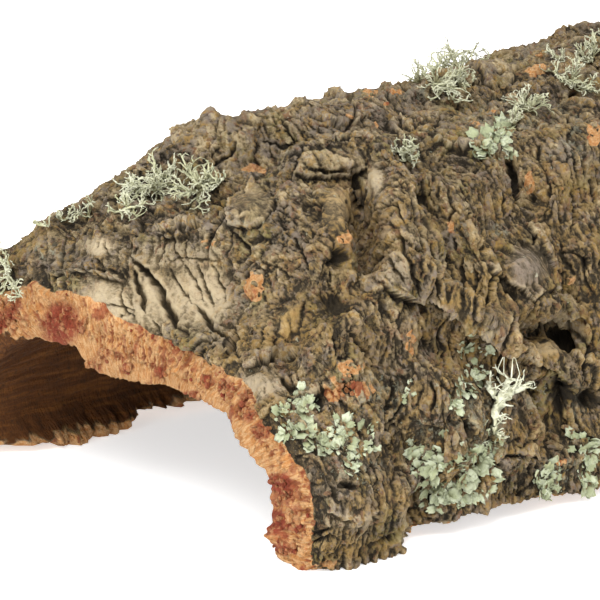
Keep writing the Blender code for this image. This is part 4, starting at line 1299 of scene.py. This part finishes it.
# twigs: stems drawn in the photo's pixels, then roots (x, y, stems, length in mm), or the node's own place
tuftedLichens = {
    "tufted_lichen_near_top": {
        "roots": [(150, 186, 11, 13), (165, 176, 7, 9), (200, 190, 12, 12), (216, 186, 8, 9), (128, 180, 5, 8)],
        "stems": [[(182, 189), (165, 187), (150, 184), (130, 176)], [(150, 186), (160, 196), (170, 204)]]},
    "tufted_lichen_near_brow": {
        "roots": [(38, 216, 9, 8), (62, 222, 4, 7), (88, 218, 4, 7), (132, 211, 6, 8)],
        "stems": [[(30, 214), (48, 219), (66, 223), (86, 220), (108, 215)],
                  [(108, 216), (126, 213), (150, 206)], [(20, 222), (40, 226), (58, 228)]]},
    "tufted_lichen_rim": {
        "roots": [(12, 272, 6, 9), (20, 290, 4, 6)],
        "stems": [[(2, 256), (10, 270), (18, 285), (26, 300)]]},
    "tufted_lichen_shoulder": {
        "roots": [(403, 156, 9, 8), (396, 150, 4, 6)],
        "stems": [[(388, 146), (400, 152), (412, 149), (422, 148)], [(400, 152), (404, 166)]]},
    "tufted_lichen_ridge": {
        "roots": [(436, 84, 14, 11), (420, 82, 7, 8), (458, 86, 9, 8)],
        "stems": [[(406, 80), (425, 82), (446, 86), (470, 88)], [(452, 88), (453, 97), (452, 108)]]},
    "tufted_lichen_far_top": {
        "roots": [(574, 84, 8, 11), (592, 62, 9, 10), (526, 112, 12, 9), (514, 126, 6, 7), (562, 60, 5, 8)],
        "stems": [[(546, 72), (560, 80), (578, 84), (598, 92)], [(592, 36), (594, 54), (588, 70)]]},
    "tufted_lichen_flank": {
        "roots": [(508, 388, 2, 5), (492, 432, 3, 4)], "pale": 0.4, "width": 0.0029,
        "stems": [[(490, 428), (494, 412), (500, 398), (506, 386), (510, 378)],
                  [(500, 398), (514, 392), (524, 380)], [(497, 404), (488, 392), (486, 382)]]},
    "tufted_lichen_left": {"stemCount": 16, "length": 15},
}


def growTufted():
    for node, values in tuftedLichens.items():
        growth = Growth()
        pale = values.get("pale", 0.0)
        for stem in values.get("stems", ()):
            line = []
            for (ax, ay), (bx, by) in zip(stem, stem[1:]):
                for k in range(4):
                    place = barkAtPixel(ax + (bx - ax) * k / 4, ay + (by - ay) * k / 4)
                    if place and (not line or (place - line[-1]).length < 0.009):
                        line.append(place + barkNear(place)[1] * chance.uniform(0.0012, 0.0032))
            if len(line) > 2:
                growth.twig(line, values.get("width", 0.0011), 0.5 + pale, 0.2, 0.7)
                for p in line[1:]:
                    way = Vector([chance.gauss(0, 1) for _ in range(3)]) + barkNear(p)[1] * 0.5
                    growth.branch(p, way.normalized(), chance.uniform(0.003, 0.007), 0.0007, 0.5 + pale, 1)
        roots = [(barkAtPixel(x, y), count, length) for x, y, count, length in values.get("roots", ())]
        if "stemCount" in values:
            roots.append((barkNear(nodeMiddle(node))[0], values["stemCount"], values["length"]))
        for root, count, length in roots:
            if not root:
                continue
            normal = barkNear(root)[1]
            side = normal.orthogonal().normalized()
            for _ in range(count):
                turn = chance.uniform(0, fullTurn)
                way = side * math.cos(turn) + normal.cross(side) * math.sin(turn)
                way += normal * chance.uniform(0.05, 0.5)
                growth.branch(root + normal * 0.0004, way.normalized(), length * mm * chance.uniform(0.6, 1.1),
                              0.00085, 0.45 + pale + chance.uniform(-0.25, 0.25), 0)
        growth.finish(node.replace("tufted_lichen", "tufted_twigs"), tuftedMaterial, "tufted_lichen", node)


growLeafy()
growTufted()


# loose chips on the bark and crumbs of cork along the breaks

looseBits = {"chips": 1500, "chipSize": (0.9, 3.4), "crumbs": 760, "crumbSize": (0.35, 1.3)}    # sizes in mm


class Bits:
    def __init__(self):
        self.points, self.faces, self.notes = [], [], []

    def add(self, points, faces, notes):
        first = len(self.points)
        self.points += points
        self.faces += [tuple(first + i for i in face) for face in faces]
        self.notes += [notes] * len(points)

    def finish(self, name):
        aboveFloor(self.points)
        piece = newPiece(name, self.points, self.faces, barkMaterial)
        for label in bitNotes:
            writeFloats(piece.data, label, [note.get(label, 0.0) for note in self.notes])
        writeVectors(piece.data, "unrolled", self.points)
        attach(piece, "root")
        print(name, triangleCount(self.faces), "triangles")


def addChips():
    bits = Bits()
    outside = np.flatnonzero((weathered > 0.9) & (calm < 0.2))
    for _ in range(looseBits["chips"]):
        k = outside[chance.randrange(len(outside))]
        base, normal = barkNear(Vector(barkPoints[k]))
        along = normal.cross(Vector((1, 0, 0))).normalized()
        along = (along + Vector([chance.gauss(0, 0.35) for _ in range(3)])).normalized()
        normal = (normal + Vector([chance.gauss(0, 0.28) for _ in range(3)])).normalized()
        side = along.cross(normal).normalized()
        size = chance.uniform(*looseBits["chipSize"]) * mm * (1.5 if chance.random() < 0.06 else 1)
        corners = chance.choice((5, 6, 7))
        thick = chance.uniform(0.10, 0.22) * size
        ring = []
        for c in range(corners):
            far = size * chance.uniform(0.6, 1.1)
            way = fullTurn * (c + chance.uniform(-0.25, 0.25)) / corners
            ring.append(base + along * math.cos(way) * far + side * math.sin(way) * far * 0.5)
        top = [p + normal * (thick + 0.0002) for p in ring]
        low = [p - normal * 0.0003 + (p - base) * 0.06 for p in ring]
        faces = [tuple(range(corners)), tuple(reversed(range(corners, 2 * corners)))]
        faces += [(c, c + corners, (c + 1) % corners + corners, (c + 1) % corners) for c in range(corners)]
        notes = {label: float(barkNotes[label][k]) for label in ("ochre", "grey", "light", "crust")}
        notes["tone"] = min(max(float(barkNotes["tone"][k]) + chance.uniform(-0.15, 0.3), 0.0), 1.0)
        if chance.random() < 0.03:
            notes["fresh"] = 1.0
        bits.add(top + low, faces, notes)
    bits.finish("bark_chips")


def addCrumbs():
    bits = Bits()
    deselectAll()
    bpy.ops.mesh.primitive_ico_sphere_add(subdivisions=1, radius=1.0)
    ball = bpy.context.object
    shape = [v.co.copy() for v in ball.data.vertices]
    faces = [tuple(p.vertices) for p in ball.data.polygons]
    bpy.data.objects.remove(ball)
    brink = np.flatnonzero((broken > 0.7) & ((station < 26) | (basePoints[:, 2] < 0.006)))
    for n in range(looseBits["crumbs"]):
        if n % 2:
            x, y, half, tall, _ = chance.choice(rustSpots)
            place = barkAtPixel(x + chance.gauss(0, 0.5) * half, y + chance.gauss(0, 0.5) * tall)
            if not place or place.x > -0.15:
                continue
            rust = chance.uniform(0.2, 1.0)
        else:
            place = Vector(barkPoints[brink[chance.randrange(len(brink))]])
            rust = chance.choice((0.0, 0.3, 1.0))
        size = chance.uniform(*looseBits["crumbSize"]) * mm * (1.7 if chance.random() < 0.12 else 1)
        stretch = Vector((chance.uniform(0.6, 1.1), chance.uniform(0.6, 1.1), chance.uniform(0.6, 1.3))) * size
        middle = place + barkTree.find_nearest(place)[1] * size * 0.3
        middle.z = max(middle.z, size)
        points = [middle + Vector(v * s * chance.uniform(0.75, 1.2) for v, s in zip(p, stretch)) for p in shape]
        bits.add(points, faces, {"fresh": 1.0, "rust": rust, "tone": chance.uniform(0.35, 0.8)})
    bits.finish("cork_crumbs")


addChips()
addCrumbs()


# part the bark into pieces that keep its finest detail

def partBark():
    data = bark.data
    loops = np.empty(len(data.loops), np.int32)
    data.loops.foreach_get("vertex_index", loops)
    starts = np.empty(len(data.polygons), np.int32)
    data.polygons.foreach_get("loop_start", starts)
    corner = loops[starts]
    number = np.zeros(len(starts), np.int32)
    for k, (low, high, seenSide, _) in enumerate(barkShape["pieces"].values()):
        mine = (station[corner] >= low) & (station[corner] < high)
        mine &= (turn[corner] < barkShape["crownTurn"]) == seenSide
        number[mine] = k
        data.materials.append(barkMaterial)
    data.polygons.foreach_set("material_index", number)
    data.polygons.foreach_set("use_smooth", np.ones(len(starts), bool))
    data.attributes.new("part", "INT", "FACE").data.foreach_set("value", number)
    pick(bark)
    bpy.ops.mesh.separate(type="MATERIAL")
    names = list(barkShape["pieces"])
    for piece in list(bpy.context.selected_objects):
        name = names[piece.data.attributes["part"].data[0].value]
        piece.data.attributes.remove(piece.data.attributes["part"])
        piece.name = piece.data.name = name
        triangles = 2 * len(piece.data.polygons)
        wanted = barkShape["pieces"][name][3]
        if triangles > wanted:
            applyModifier(piece, "DECIMATE", ratio=wanted / triangles)
        piece.data.materials.clear()
        piece.data.materials.append(barkMaterial)
        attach(piece, "root")
        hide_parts("cork_slab")
        print(name, len(piece.data.polygons), "faces")


partBark()


# floor, backdrop and light

studio = {
    "floor": 6.0,
    "floorColour": (0.94, 0.94, 0.935),
    "glow": 0.55,
    "world": 0.95,
    "lights": {                 # size, power and place
        "key": (0.9, 22.0, (-0.75, -0.55, 1.25)),
        "fill": (1.2, 8.0, (0.7, -1.3, 0.7)),
        "front": (0.8, 9.0, (-1.5, -0.25, 0.28)),
    },
}


def addStudio():
    s = studio
    deselectAll()
    bpy.ops.mesh.primitive_plane_add(size=s["floor"], location=(0, 0, 0))
    floor = bpy.context.object
    floor.name = "floor"
    material, t, shader, place = startMaterial("floorPaint", 0.8)
    tone = t.noise(place, 3.0, 2.0)
    darker = tuple(v * 0.99 for v in s["floorColour"])
    t.put(shader.inputs["Base Color"], t.mix(tone, s["floorColour"], darker))
    shader.inputs["Emission Color"].default_value = (1, 1, 1, 1)
    shader.inputs["Emission Strength"].default_value = s["glow"]
    floor.data.materials.append(material)
    world = bpy.data.worlds.new("studio")
    bpy.context.scene.world = world
    world.use_nodes = True
    background = world.node_tree.nodes["Background"]
    background.inputs["Color"].default_value = (1, 1, 1, 1)
    background.inputs["Strength"].default_value = s["world"]
    for name, (size, power, place) in s["lights"].items():
        light = bpy.data.objects.new(name, bpy.data.lights.new(name, "AREA"))
        light.data.size, light.data.energy = size, power
        light.location = place
        light.rotation_euler = (-Vector(place)).to_track_quat("-Z", "Y").to_euler()
        bpy.context.scene.collection.objects.link(light)


addStudio()
bpy.context.scene.view_settings.view_transform = "Standard"
